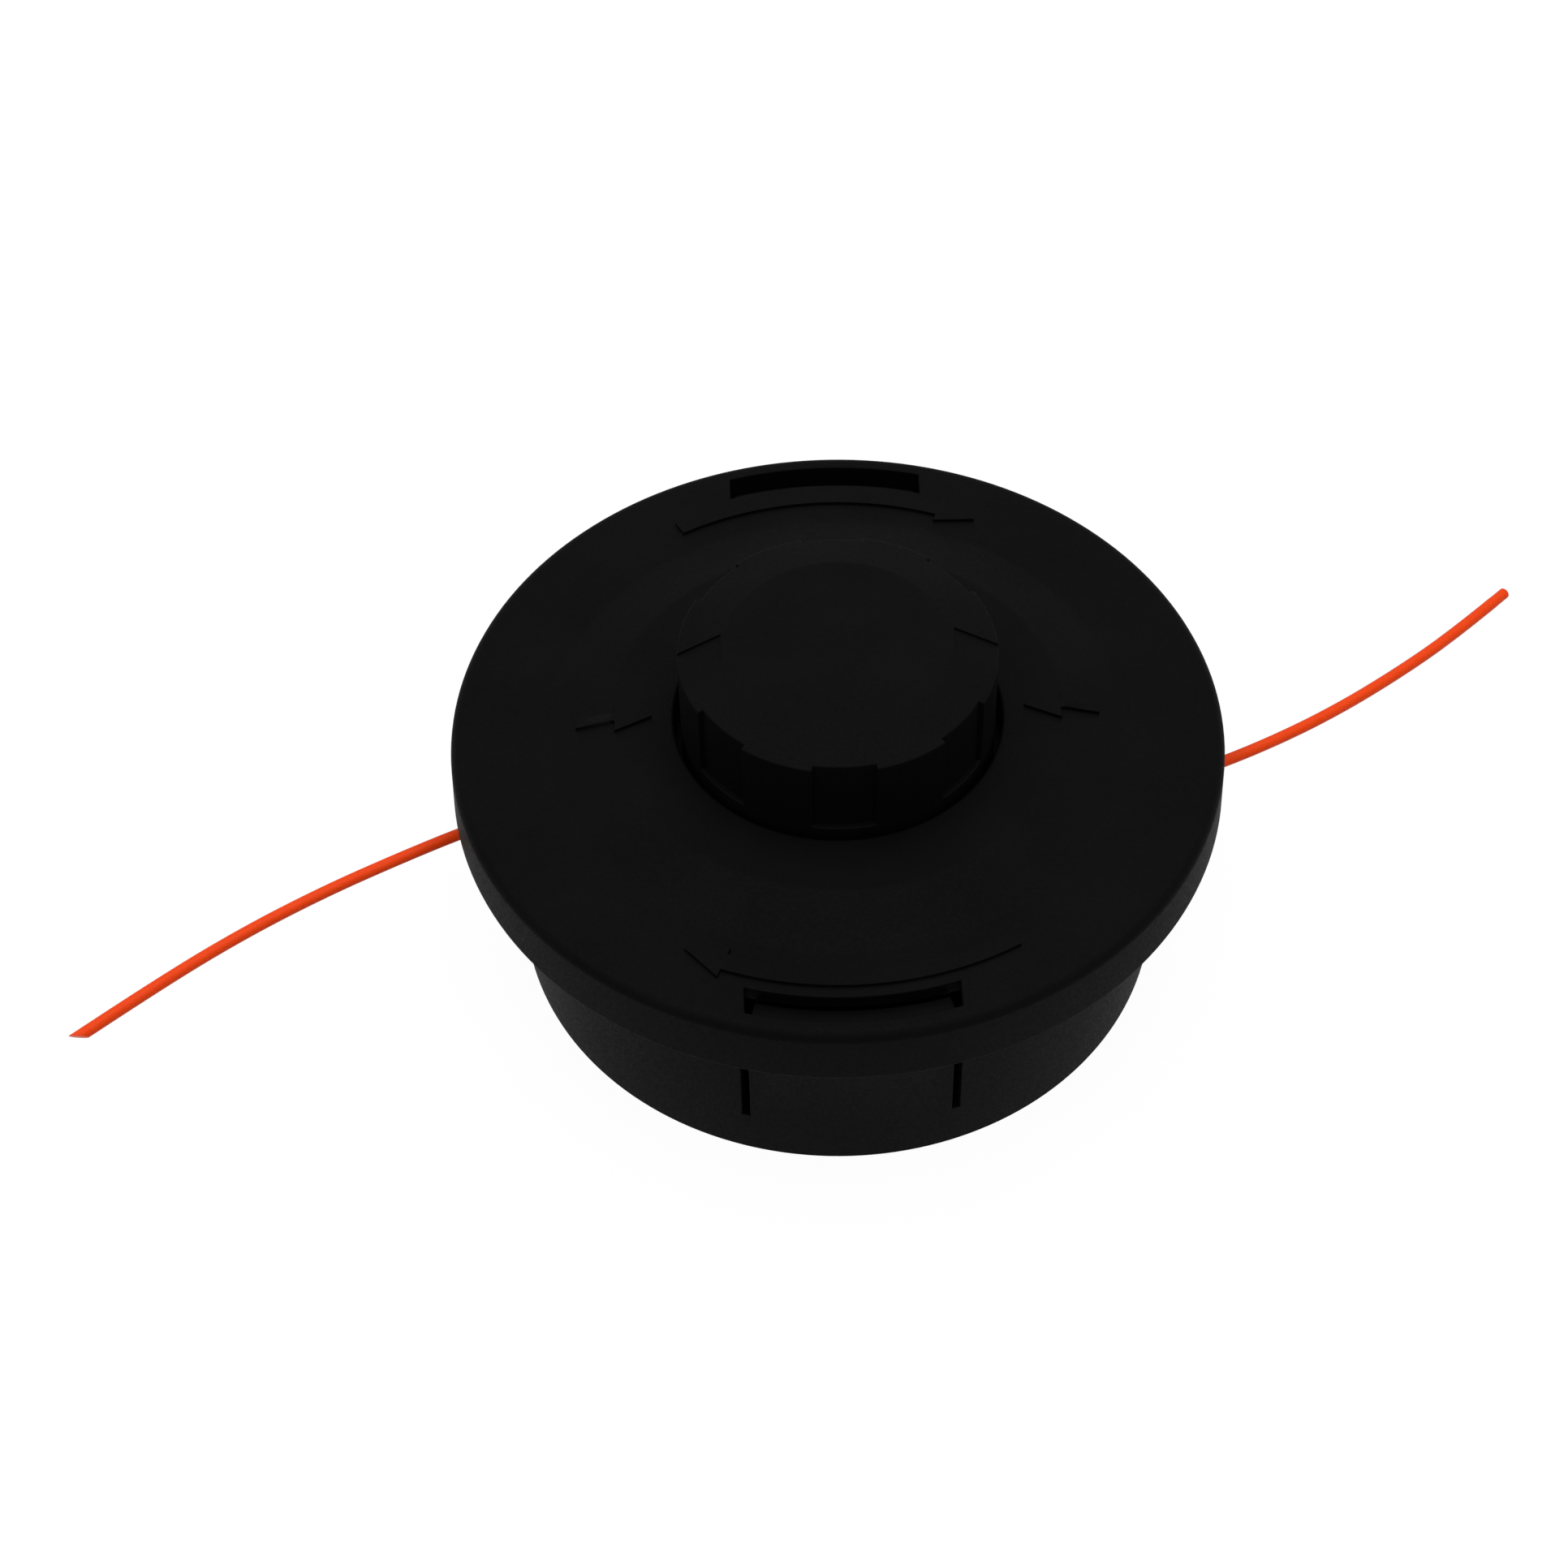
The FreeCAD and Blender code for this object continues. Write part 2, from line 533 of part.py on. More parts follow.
def make_spool():
    """The two-bay spool with its guide sleeve, the knob's snap seat and ramps on both faces."""
    body = new_body("spool")
    divider = f"({SPOOL} - divider_set)"
    sleeve = f"({POST_FIT} + sleeve_wall)"
    seat_top = f"({SPOOL_TOP} + seat_height)"
    bead = f"({SEAT} + bead_depth)"
    revolve(body, "reel", [
        (HUB_IN, SPOOL_BOTTOM), (SPOOL, SPOOL_BOTTOM), (SPOOL, LOWER_BAY), (HUB, LOWER_BAY), (HUB, DIVIDER),
        (divider, DIVIDER), (divider, UPPER_BAY), (HUB, UPPER_BAY), (HUB, UPPER_FLANGE),
        (SPOOL, UPPER_FLANGE), (SPOOL, SPOOL_TOP), (SEAT, SPOOL_TOP), (SEAT, BEAD),
        (bead, f"{BEAD} + bead_slant"), (bead, f"{BEAD} + bead_height - bead_slant"),
        (SEAT, f"{BEAD} + bead_height"), (SEAT, seat_top), (f"{SEAT} - seat_wall", seat_top),
        (f"{SEAT} - seat_wall", SPOOL_TOP), (HUB_IN, SPOOL_TOP), (HUB_IN, WEB_TOP), (sleeve, WEB_TOP),
        (sleeve, SLEEVE_TOP), (POST_FIT, SLEEVE_TOP), (POST_FIT, WEB), (HUB_IN, WEB)])
    slots = [radial_slot(middle, f"{SPOOL} - park_depth", f"{SPOOL} + park_depth", "park_width")
             for middle in (FRONT, BACK)]
    park = new_sketch(body, "park_outline", "XY_Plane", slots, offset=f"{SPOOL_TOP} + flange_wall")
    extrude(body, "park_slots", park, f"{SPOOL_TOP} + flange_wall - {DIVIDER}", cut=True)
    add_ramps(body, "upper_ramps", "XZ_Plane", SPOOL_TOP, up=True)
    add_ramps(body, "lower_ramps", "XZ_Plane", SPOOL_BOTTOM, up=False)


def make_line_coil(label, bay):
    """The wound line of one bay as a solid, with a groove between the turns of its outer layer."""
    body = new_body(label)
    inner = f"({HUB} + seat_gap)"
    outer = f"({SPOOL} - coil_margin)"
    bottom = f"({bay} + seat_gap)"
    turns = int(number("turns_high"))
    corners = [(inner, bottom), (outer, bottom)]
    for turn in range(1, turns):
        middle = f"{bottom} + {turn} * line_diameter"
        corners += [(outer, f"{middle} - coil_notch"), (f"{outer} - coil_notch", middle),
                    (outer, f"{middle} + coil_notch")]
    top = f"{bottom} + turns_high * line_diameter"
    revolve(body, "winding", corners + [(outer, top), (inner, top)])


def make_bump_knob():
    """The hollow knob that is bumped on the ground, snapped onto the spool's seat."""
    body = new_body("bump_knob")
    groove = f"({SEAT} + bead_depth + seat_gap)"
    ceiling = f"({KNOB_TOP} - knob_crown)"
    revolve(body, "shell", [
        (KNOB_IN, SPOOL_TOP), ("knob_radius", SPOOL_TOP), ("knob_radius", KNOB_EDGE), ("knob_flat", KNOB_TOP),
        ("0", KNOB_TOP), ("0", ceiling), (KNOB_IN, ceiling),
        (KNOB_IN, f"{BEAD} + bead_height + seat_gap"),
        (groove, f"{BEAD} + bead_height + seat_gap - bead_slant"),
        (groove, f"{BEAD} - seat_gap + bead_slant"), (KNOB_IN, f"{BEAD} - seat_gap")])
    pocket = "(knob_radius - grip_depth)"
    grips = []
    for index, step in enumerate((-1, 0, 1), start=1):
        grips.append(revolve(body, f"grip_{index}", [
            (pocket, f"{PLATEAU} + grip_floor"), ("knob_radius + grip_depth", f"{PLATEAU} + grip_floor"),
            ("knob_radius + grip_depth", KNOB_TOP), (pocket, KNOB_TOP)],
            span="2 * grip_half", azimuth=f"{FRONT} + {step} * grip_step", cut=True))
    repeat(body, "grips", grips, "2")

    # Pointers in the bevel, whose floors follow its slope
    fall = "(knob_bevel / (knob_radius - knob_flat))"
    slope = f"atan({fall})"
    base, tip = f"pointer_base / cos({slope})", f"pointer_tip / cos({slope})"
    mark = new_sketch(body, "pointer_outline", "XY_Plane",
                      [[(base, "-pointer_half"), (tip, "0"), (base, "pointer_half")]],
                      offset=f"{KNOB_TOP} + knob_flat * {fall} - pointer_depth", tilt=slope)
    first = extrude(body, "first_pointer", mark, "knob_bevel + pointer_depth", cut=True, backwards=True)
    repeat(body, "pointers", [first], "2")


def make_cap():
    """The clip-on cap: plate with a raised middle, rim band, latch windows, ramps and raised arrows."""
    body = new_body("cap")
    guide = f"({HOLE} + guide_wall)"
    revolve(body, "plate", [
        (SKIRT_IN, BAND), ("cap_radius", BAND), ("cap_radius - rim_draft", CAP_TOP), ("cone_outer", CAP_TOP),
        ("cone_inner", PLATEAU), (HOLE, PLATEAU), (HOLE, f"{PLATEAU_UNDER} - guide_depth"),
        (guide, f"{PLATEAU_UNDER} - guide_depth"), (guide, PLATEAU_UNDER), ("cone_inner", PLATEAU_UNDER),
        ("cone_outer", CAP_UNDER), (SKIRT_IN, CAP_UNDER)])
    round_rings(body, "rim_edge", "rim_round", [("cap_radius - rim_draft", CAP_TOP)])
    round_rings(body, "hole_edge", "hole_round", [(HOLE, PLATEAU)])
    add_ramps(body, "cap_ramps", "YZ_Plane", PLATEAU_UNDER, up=False)

    # Latch: a thicker stretch of skirt with a snap rib, under a window that the mould's core came through
    pad = revolve(body, "latch_pad", [
        (WINDOW_OUT, BAND), (f"{SKIRT_IN} + skirt_wall / 2", BAND),
        (f"{SKIRT_IN} + skirt_wall / 2", f"{CAP_UNDER} + cap_wall / 2"),
        (WINDOW_OUT, f"{CAP_UNDER} + cap_wall / 2")], span="2 * latch_half", azimuth=BACK)
    repeat(body, "latch_pads", [pad], "2")
    window_sketch = new_sketch(body, "window_outline", "XY_Plane", offset=PLATEAU)
    draw_arched_slot(window_sketch, WINDOW_IN, WINDOW_OUT, "window_reach")
    window = extrude(body, "window", window_sketch, "plateau_rise + 1.5 * cap_wall", cut=True)
    repeat(body, "windows", [window], "2")
    rib = revolve(body, "snap_rib", [
        (f"{WINDOW_OUT} + latch_pad", RIB), (WINDOW_OUT, RIB), (RIB_IN, f"{RIB} + rib_slant"),
        (RIB_IN, f"{RIB} + rib_height"), (f"{WINDOW_OUT} + latch_pad", f"{RIB} + rib_height")],
        span="2 * nose_half", azimuth=BACK)
    repeat(body, "snap_ribs", [rib], "2")

    # Curved arrows beside the windows, which show the way the head turns
    root = f"{CAP_TOP} - cap_wall / 2"
    crest = f"({CAP_TOP} + mark_rise)"
    inner, outer = "turn_mark_radius - turn_mark_width / 2", "turn_mark_radius + turn_mark_width / 2"
    head_back = f"({BACK} - turn_mark_half + turn_head_angle)"
    shaft = revolve(body, "turn_shaft", [(inner, root), (outer, root), (outer, crest), (inner, crest)],
                    span="2 * turn_mark_half - turn_head_angle", azimuth=f"{BACK} + turn_head_angle / 2")
    tip = f"({BACK} - turn_mark_half)"
    corners = [(f"turn_mark_radius * cos({tip})", f"turn_mark_radius * sin({tip})")]
    for side in "+-":
        barb = f"(turn_mark_radius {side} turn_head_half)"
        corners.append((f"{barb} * cos({head_back})", f"{barb} * sin({head_back})"))
    head_sketch = new_sketch(body, "turn_head_outline", "XY_Plane", [corners], offset=root)
    head = extrude(body, "turn_head", head_sketch, "cap_wall / 2 + mark_rise")
    repeat(body, "turn_arrows", [shaft, head], "2")

    # Straight arrows at the line outlets, which point at the knob
    aim_root = f"({PLATEAU} - cap_wall / 2)"
    aim = [("aim_tip", "0"), ("aim_base", "-aim_half"), ("aim_base", "aim_half")]
    aim_sketch = new_sketch(body, "aim_outline", "XY_Plane", [aim], offset=aim_root)
    aim_head = extrude(body, "aim_head", aim_sketch, "cap_wall / 2 + mark_rise")
    slope = "(plateau_rise / (cone_outer - cone_inner))"
    tail_level = f"({PLATEAU} - (aim_tail - cone_inner) * {slope})"
    aim_shaft = revolve(body, "aim_shaft", [
        ("aim_base", aim_root), ("aim_tail", f"{tail_level} - cap_wall / 2"),
        ("aim_tail", f"{tail_level} + mark_rise"), ("cone_inner", f"{PLATEAU} + mark_rise"),
        ("aim_base", f"{PLATEAU} + mark_rise")], span="aim_shaft_angle", azimuth=RIGHT)
    repeat(body, "aim_arrows", [aim_head, aim_shaft], "2")


def make_line(label, route):
    """A free end of the line: a round cord along straight runs joined by arcs as large as the runs allow."""
    level = number("eyelet_height")
    radius = number("line_diameter") / 2
    points = [FreeCAD.Vector(x, y, level) for x, y in route]
    edges = []
    bends = []
    start = points[0]
    for before, corner, after in zip(points, points[1:], points[2:]):
        into, out = corner - before, after - corner
        reach = BEND_REACH * min(into.Length, out.Length)
        turn = into.getAngle(out)
        bends.append(reach / math.tan(turn / 2))
        into.normalize()
        out.normalize()
        entry, leave = corner - into * reach, corner + out * reach
        inward = out - into
        inward.normalize()
        sag = bends[-1] * (1 / math.cos(turn / 2) - 1)
        edges.append(Part.LineSegment(start, entry).toShape())
        edges.append(Part.Arc(entry, corner + inward * sag, leave).toShape())
        start = leave
    edges.append(Part.LineSegment(start, points[-1]).toShape())
    path = Part.Wire(edges)
    section = Part.Wire(Part.makeCircle(radius, points[0], points[1] - points[0]))
    solid = path.makePipeShell([section], True, True)
    cord = doc.addObject("Part::Feature", label)
    cord.Label = label
    cord.Shape = solid
    cord.Placement = FreeCAD.Placement()
    subparts[label] = cord
    expected = math.pi * radius ** 2 * path.Length
    print(label, "length %.1f" % path.Length, "radii", [round(bend) for bend in bends],
          "volume ratio %.4f" % (solid.Volume / expected))


def write_parts():
    """Check every object of the document, then write each sub-part to its own file."""
    doc.recompute()
    for item in doc.Objects:
        if {"Invalid", "Error"} & set(item.State):
            raise RuntimeError(f"{item.Label} failed: {item.State}")
    for label, item in subparts.items():
        if item.Shape.isNull() or not item.Shape.isValid() or len(item.Shape.Solids) != 1:
            raise RuntimeError(f"{label} is not one valid solid")
    os.makedirs("parts", exist_ok=True)
    for label, item in subparts.items():
        item.Shape.exportStep(f"parts/{label}.step")
        print(label, "volume %.0f mm3" % item.Shape.Volume)


make_housing()
make_drive_nut()
make_eyelet("eyelet_right", 1)
make_eyelet("eyelet_left", -1)
make_spring()
make_thrust_washer()
make_spool()
make_line_coil("line_coil_lower", LOWER_BAY)
make_line_coil("line_coil_upper", UPPER_BAY)
make_bump_knob()
make_cap()
make_line("line_right", LINE_RIGHT)
make_line("line_left", LINE_LEFT)
write_parts()
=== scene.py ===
"""Looks of a bump feed trimmer head: black nylon mouldings, orange cutting line and a few metal pieces."""

import logging
import math
from dataclasses import dataclass
from enum import Enum
from typing import Any, Sequence

import bmesh
import bpy
from mathutils import Matrix, Vector


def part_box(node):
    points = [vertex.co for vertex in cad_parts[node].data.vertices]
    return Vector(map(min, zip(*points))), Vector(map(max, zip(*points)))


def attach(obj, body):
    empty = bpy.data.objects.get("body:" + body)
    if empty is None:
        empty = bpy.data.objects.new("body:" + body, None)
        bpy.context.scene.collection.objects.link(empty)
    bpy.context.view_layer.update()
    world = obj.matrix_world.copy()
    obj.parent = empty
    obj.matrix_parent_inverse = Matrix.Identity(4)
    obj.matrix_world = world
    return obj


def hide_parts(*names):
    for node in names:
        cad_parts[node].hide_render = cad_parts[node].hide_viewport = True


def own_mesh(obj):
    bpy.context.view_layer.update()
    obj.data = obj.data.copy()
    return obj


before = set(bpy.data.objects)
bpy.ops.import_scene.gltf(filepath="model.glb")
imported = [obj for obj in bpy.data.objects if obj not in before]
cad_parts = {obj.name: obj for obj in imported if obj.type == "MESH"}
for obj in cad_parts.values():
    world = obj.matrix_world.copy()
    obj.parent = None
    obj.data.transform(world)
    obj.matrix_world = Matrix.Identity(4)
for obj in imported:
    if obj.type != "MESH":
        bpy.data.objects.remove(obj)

LOG = logging.getLogger("trimmer_head")
MM = 0.001                 # millimetres to the scene's metres
PICTURE_SIDE = 1932        # side of the square picture, in pixels
MERGE_GAP = 0.002 * MM     # corners closer than this are one corner
RING_GAP = 0.01 * MM       # how far an edge may lie from the circle that it is looked for on
SHARP_TURN = math.radians(25)    # a form that turns by more than this has a corner there
CRISP_TURN = math.radians(50)    # and by more than this, a crisp one
FULL_TURN = 360.0
SIDE_STEP = 6.0            # angle of one face of the small turned pieces, in degrees
WIRE_SIDES = 16            # sides of a round wire's section
LATCHES = (90.0, 270.0)    # azimuths of the latches
RAMP_COUNT = 6             # ratchet ramps in a ring
RAMP_INNER = 29.8          # where they start, from the drive axis, in mm
RAMP_DEPTH = 5.4           # how far they reach outwards
RAMP_HALF = 4.5            # half their width
RAMP_SLANT = 2.0           # where their slanted flank ends, from their middle
NYLON_IOR = 1.53
Colour = tuple[float, float, float, float]
Corner = tuple[float, float]         # radius and height of an outline's corner, in mm
Outline = Sequence[Corner]
Form = bmesh.types.BMesh
Edges = list[bmesh.types.BMEdge]


def linear(code: str) -> Colour:
    """Turn an sRGB hex value into the linear colour that shaders take.

    Args:
        code: Colour such as "#F04B21".

    Returns:
        Red, green, blue and full opacity.
    """
    channels = [int(code[place:place + 2], 16) / 255 for place in (1, 3, 5)]
    red, green, blue = [c / 12.92 if c <= 0.04045 else ((c + 0.055) / 1.055) ** 2.4 for c in channels]
    return red, green, blue, 1.0


def add_node(tree: bpy.types.NodeTree, kind: str, settings: dict[str, Any] | None = None,
             values: dict[Any, Any] | None = None, links: dict[Any, Any] | None = None) -> bpy.types.Node:
    """Add a node with its settings and links.

    Args:
        tree: Node tree that gets the node.
        kind: Blender's name of the node type.
        settings: Attributes of the node.
        values: Values of its input sockets, by name or number.
        links: Output sockets that feed its input sockets, by name or number.

    Returns:
        The new node.
    """
    node = tree.nodes.new(kind)
    for name, value in (settings or {}).items():
        setattr(node, name, value)
    for socket, value in (values or {}).items():
        node.inputs[socket].default_value = value
    for socket, source in (links or {}).items():
        tree.links.new(source, node.inputs[socket])
    return node


def new_surface(name: str) -> tuple[bpy.types.Material, bpy.types.NodeTree]:
    """Start a material with an empty node tree, and return both."""
    material = bpy.data.materials.new(name)
    material.use_nodes = True
    material.node_tree.nodes.clear()
    return material, material.node_tree


@dataclass(frozen=True)
class Finish:
    """What all finishes share: two tones that a pattern mixes, and a relief that a pattern raises."""

    name: str
    dark: str
    light: str

    def add_skin(self, tree: bpy.types.NodeTree, tone: bpy.types.NodeSocket, relief: bpy.types.NodeSocket,
                 relief_share: float, depth_mm: float, values: dict[str, Any],
                 links: dict[str, bpy.types.NodeSocket] | None = None) -> None:
        """Add the shader with its two tones and its relief, and the output.

        Args:
            tree: Node tree of the material.
            tone: Pattern that mixes the tones.
            relief: Pattern that raises the relief.
            relief_share: Strength of the relief, up to 1.
            depth_mm: Its height.
            values: The shader's constant values.
            links: What else feeds the shader.
        """
        colour = add_node(tree, "ShaderNodeMix", {"data_type": "RGBA"},
                          {6: linear(self.dark), 7: linear(self.light)}, {0: tone})
        bump = add_node(tree, "ShaderNodeBump", values={"Strength": relief_share, "Distance": depth_mm * MM},
                        links={"Height": relief})
        skin = add_node(tree, "ShaderNodeBsdfPrincipled", values=values,
                        links={"Base Color": colour.outputs[2], "Normal": bump.outputs["Normal"],
                               **(links or {})})
        add_node(tree, "ShaderNodeOutputMaterial", links={"Surface": skin.outputs["BSDF"]})


@dataclass(frozen=True)
class MouldedNylon(Finish):
    """Glass-filled nylon, moulded in a spark-eroded tool: black and matte, with a fine pebble grain.

    The melt's flow leaves faint cloudy patches, and the grain breaks up the sheen.
    """

    dark: str = "#060606"
    light: str = "#090909"
    sheen: float = 0.025         # specular level of the matte skin
    smooth: float = 0.52         # roughness on top of the grain
    rough: float = 0.66          # roughness between the grains
    grain_mm: float = 0.55       # pebble size, drawn coarser than the real 0.1 mm so that it shows
    grain_detail: float = 2.0
    grain_span: tuple[float, float] = (0.3, 0.7)      # levels of the grain where it is smooth and rough
    grain_share: float = 0.6
    grain_depth_mm: float = 0.012
    cloud_mm: float = 22.0
    cloud_detail: float = 4.0
    cloud_break: float = 0.6     # how ragged the patches are
    cloud_span: tuple[float, float] = (0.35, 0.65)    # levels of the patches where they are dark and light

    def material(self) -> bpy.types.Material:
        """Return the finish as a material."""
        material, tree = new_surface(self.name)
        place = add_node(tree, "ShaderNodeTexCoord").outputs["Object"]
        cloud = add_node(tree, "ShaderNodeTexNoise",
                         values={"Scale": 1 / (self.cloud_mm * MM), "Detail": self.cloud_detail,
                                 "Roughness": self.cloud_break}, links={"Vector": place})
        grain = add_node(tree, "ShaderNodeTexNoise",
                         values={"Scale": 1 / (self.grain_mm * MM), "Detail": self.grain_detail},
                         links={"Vector": place}).outputs["Fac"]
        tone = add_node(tree, "ShaderNodeMapRange",
                        values={"From Min": self.cloud_span[0], "From Max": self.cloud_span[1]},
                        links={"Value": cloud.outputs["Fac"]})
        roughness = add_node(tree, "ShaderNodeMapRange",
                             values={"From Min": self.grain_span[0], "From Max": self.grain_span[1],
                                     "To Min": self.smooth, "To Max": self.rough}, links={"Value": grain})
        self.add_skin(tree, tone.outputs["Result"], grain, self.grain_share, self.grain_depth_mm,
                      {"IOR": NYLON_IOR, "Specular IOR Level": self.sheen},
                      {"Roughness": roughness.outputs["Result"]})
        return material


@dataclass(frozen=True)
class DrawnLine(Finish):
    """Nylon monofilament, drawn through a die: bright orange and smooth.

    Light travels a little way inside it, which evens out its shaded side.
    """

    dark: str = "#E5430E"
    light: str = "#EE4913"
    roughness: float = 0.38
    shine: float = 0.07          # specular level of the drawn skin
    inner_share: float = 0.35    # share of the light that comes back from inside
    inner_mm: float = 1.0        # how far red light travels there
    inner_reach: tuple[float, float, float] = (1.0, 0.4, 0.2)    # and each colour's share of that
    cloud_mm: float = 6.0
    cloud_detail: float = 2.0
    mark_mm: float = 0.5         # die marks, drawn coarser than the real ones so that they show
    mark_detail: float = 1.0
    mark_share: float = 0.4
    mark_depth_mm: float = 0.002

    def material(self) -> bpy.types.Material:
        """Return the finish as a material."""
        material, tree = new_surface(self.name)
        place = add_node(tree, "ShaderNodeTexCoord").outputs["Object"]
        patterns = ((self.cloud_mm, self.cloud_detail), (self.mark_mm, self.mark_detail))
        cloud, marks = [add_node(tree, "ShaderNodeTexNoise",
                                 values={"Scale": 1 / (size * MM), "Detail": detail},
                                 links={"Vector": place}).outputs["Fac"] for size, detail in patterns]
        self.add_skin(tree, cloud, marks, self.mark_share, self.mark_depth_mm,
                      {"IOR": NYLON_IOR, "Roughness": self.roughness, "Specular IOR Level": self.shine,
                       "Subsurface Weight": self.inner_share, "Subsurface Radius": self.inner_reach,
                       "Subsurface Scale": self.inner_mm * MM})
        return material


class Lay(Enum):
    """Direction of the marks that a tool or a bath leaves on metal, as their stretch along X, Y and Z."""

    TURNED = (1.0, 0.08, 0.08)
    DRAWN = (0.15, 0.15, 1.0)
    PLATED = (1.0, 1.0, 1.0)


@dataclass(frozen=True)
class WorkedMetal(Finish):
    """Bare or plated metal: bright, with tool marks or a plating bath's cloudy bloom in its gloss."""

    lay: Lay
    smooth: float = 0.22
    rough: float = 0.38
    mark_mm: float = 0.4         # drawn coarser than the real marks so that they show
    mark_detail: float = 3.0
    mark_share: float = 0.5
    mark_depth_mm: float = 0.008

    def material(self) -> bpy.types.Material:
        """Return the finish as a material."""
        material, tree = new_surface(self.name)
        place = add_node(tree, "ShaderNodeTexCoord").outputs["Object"]
        stretched = add_node(tree, "ShaderNodeMapping", values={"Scale": self.lay.value},
                             links={"Vector": place})
        marks = add_node(tree, "ShaderNodeTexNoise",
                         values={"Scale": 1 / (self.mark_mm * MM), "Detail": self.mark_detail},
                         links={"Vector": stretched.outputs["Vector"]}).outputs["Fac"]
        roughness = add_node(tree, "ShaderNodeMapRange", values={"To Min": self.smooth, "To Max": self.rough},
                             links={"Value": marks})
        self.add_skin(tree, marks, marks, self.mark_share, self.mark_depth_mm, {"Metallic": 1.0},
                      {"Roughness": roughness.outputs["Result"]})
        return material


NYLON = MouldedNylon("moulded_black_nylon")
KNOB_NYLON = MouldedNylon("moulded_knob_nylon")
SPOOL_NYLON = MouldedNylon("moulded_spool_nylon", dark="#141415", light="#1D1D1F", rough=0.7)
LINE = DrawnLine("drawn_orange_line")
SPRING_WIRE = WorkedMetal("drawn_spring_wire", "#7C7D80", "#A6A7AA", Lay.DRAWN)
ZINC = WorkedMetal("zinc_plated_steel", "#A4A7AB", "#C6C8CA", Lay.PLATED, rough=0.45)
ALUMINIUM = WorkedMetal("turned_aluminium", "#C4C5C8", "#DADBDD", Lay.TURNED)


class Wardrobe:
    """Keeps one material for each finish, so that pieces with the same finish share it."""

    def __init__(self) -> None:
        """Start with no material made."""
        self.made: dict[str, bpy.types.Material] = {}

    def material(self, finish: Finish) -> bpy.types.Material:
        """Return the finish's material, made once."""
        if finish.name not in self.made:
            self.made[finish.name] = finish.material()
        return self.made[finish.name]

    def dress(self, piece: bpy.types.Object, finish: Finish) -> None:
        """Give a piece its finish alone."""
        piece.data.materials.clear()
        piece.data.materials.append(self.material(finish))


WARDROBE = Wardrobe()


def add_object(name: str, data: bpy.types.ID) -> bpy.types.Object:
    """Add an object to the scene, at the origin."""
    added = bpy.data.objects.new(name, data)
    bpy.context.scene.collection.objects.link(added)
    return added


def new_piece(name: str, bm: Form) -> bpy.types.Object:
    """Turn a finished bmesh into a smooth-shaded object at the origin.

    Args:
        name: Name of the piece.
        bm: Its mesh, in the row frame, which is freed here.

    Returns:
        The object, with face-weighted normals.
    """
    for edge in bm.edges:
        edge.smooth = edge.calc_face_angle(0.0) < CRISP_TURN
    mesh = bpy.data.meshes.new(name)
    bm.to_mesh(mesh)
    bm.free()
    mesh.polygons.foreach_set("use_smooth", [True] * len(mesh.polygons))
    piece = add_object(name, mesh)
    piece.modifiers.new("face_weighted_normals", "WEIGHTED_NORMAL").keep_sharp = True
    return piece


def seat(piece: bpy.types.Object, body: str, slot: str, finish: Finish, *nodes: str) -> bpy.types.Object:
    """Dress a piece, put it on its body and let it stand for CAD nodes.

    Args:
        piece: The finished piece.
        body: CAD body that carries it.
        slot: Slot of the record; not used.
        finish: Its finish.
        nodes: CAD nodes that it stands for.

    Returns:
        The piece.
    """
    WARDROBE.dress(piece, finish)
    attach(piece, body)
    if nodes:
        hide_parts(*nodes)
    LOG.info("%s rides on %s with %d faces", piece.name, body, len(piece.data.polygons))
    return piece


def polar(radius: float, azimuth: float, height: float) -> Vector:
    """Return the point at a radius and height in mm and an azimuth in degrees."""
    way = math.radians(azimuth)
    return Vector((radius * math.cos(way), radius * math.sin(way), height)) * MM


def turn(bm: Form, outline: Outline, start: float = 0.0, span: float = FULL_TURN,
         closed: bool = True, step: float = 2.0) -> None:
    """Turn an outline about the drive axis, all round or over a span of azimuths.

    Args:
        bm: Mesh that gets the faces.
        outline: Corners of the outline.
        start: Azimuth where the outline starts, in degrees.
        span: Angle that it sweeps, in degrees.
        closed: Whether the last corner joins the first.
        step: Angle of one face, in degrees.
    """
    verts = [bm.verts.new(polar(radius, start, height)) for radius, height in outline]
    edges = [bm.edges.new(pair) for pair in zip(verts, verts[1:] + verts[:1] if closed else verts[1:])]
    bmesh.ops.spin(bm, geom=verts + edges, cent=(0, 0, 0), axis=(0, 0, 1), angle=math.radians(span),
                   steps=max(1, round(span / step)), use_merge=span == FULL_TURN)


def add_wall(bm: Form, outline: Outline, azimuth: float) -> None:
    """Close an outline with a flat wall that stands along an azimuth."""
    bm.faces.new([bm.verts.new(polar(radius, azimuth, height)) for radius, height in outline])


def add_block(bm: Form, outline: Outline, middle: float, half: float) -> None:
    """Turn an outline over both sides of an azimuth and close both ends."""
    turn(bm, outline, middle - half, 2 * half)
    add_wall(bm, outline, middle - half)
    add_wall(bm, outline, middle + half)


def thicken(bm: Form, faces: list[bmesh.types.BMFace], way: Vector) -> None:
    """Extrude flat faces along a way given in mm, and keep them as the other end."""
    ends = bmesh.ops.extrude_face_region(bm, geom=faces)["geom"]
    verts = [item for item in ends if isinstance(item, bmesh.types.BMVert)]
    bmesh.ops.translate(bm, verts=verts, vec=way * MM)


def knit(bm: Form) -> None:
    """Join what touches and turn all faces outwards."""
    bmesh.ops.remove_doubles(bm, verts=bm.verts[:], dist=MERGE_GAP)
    bmesh.ops.recalc_face_normals(bm, faces=bm.faces[:])


def close_up(bm: Form) -> None:
    """Close every open rim with a face."""
    bmesh.ops.holes_fill(bm, edges=[edge for edge in bm.edges if edge.is_boundary])


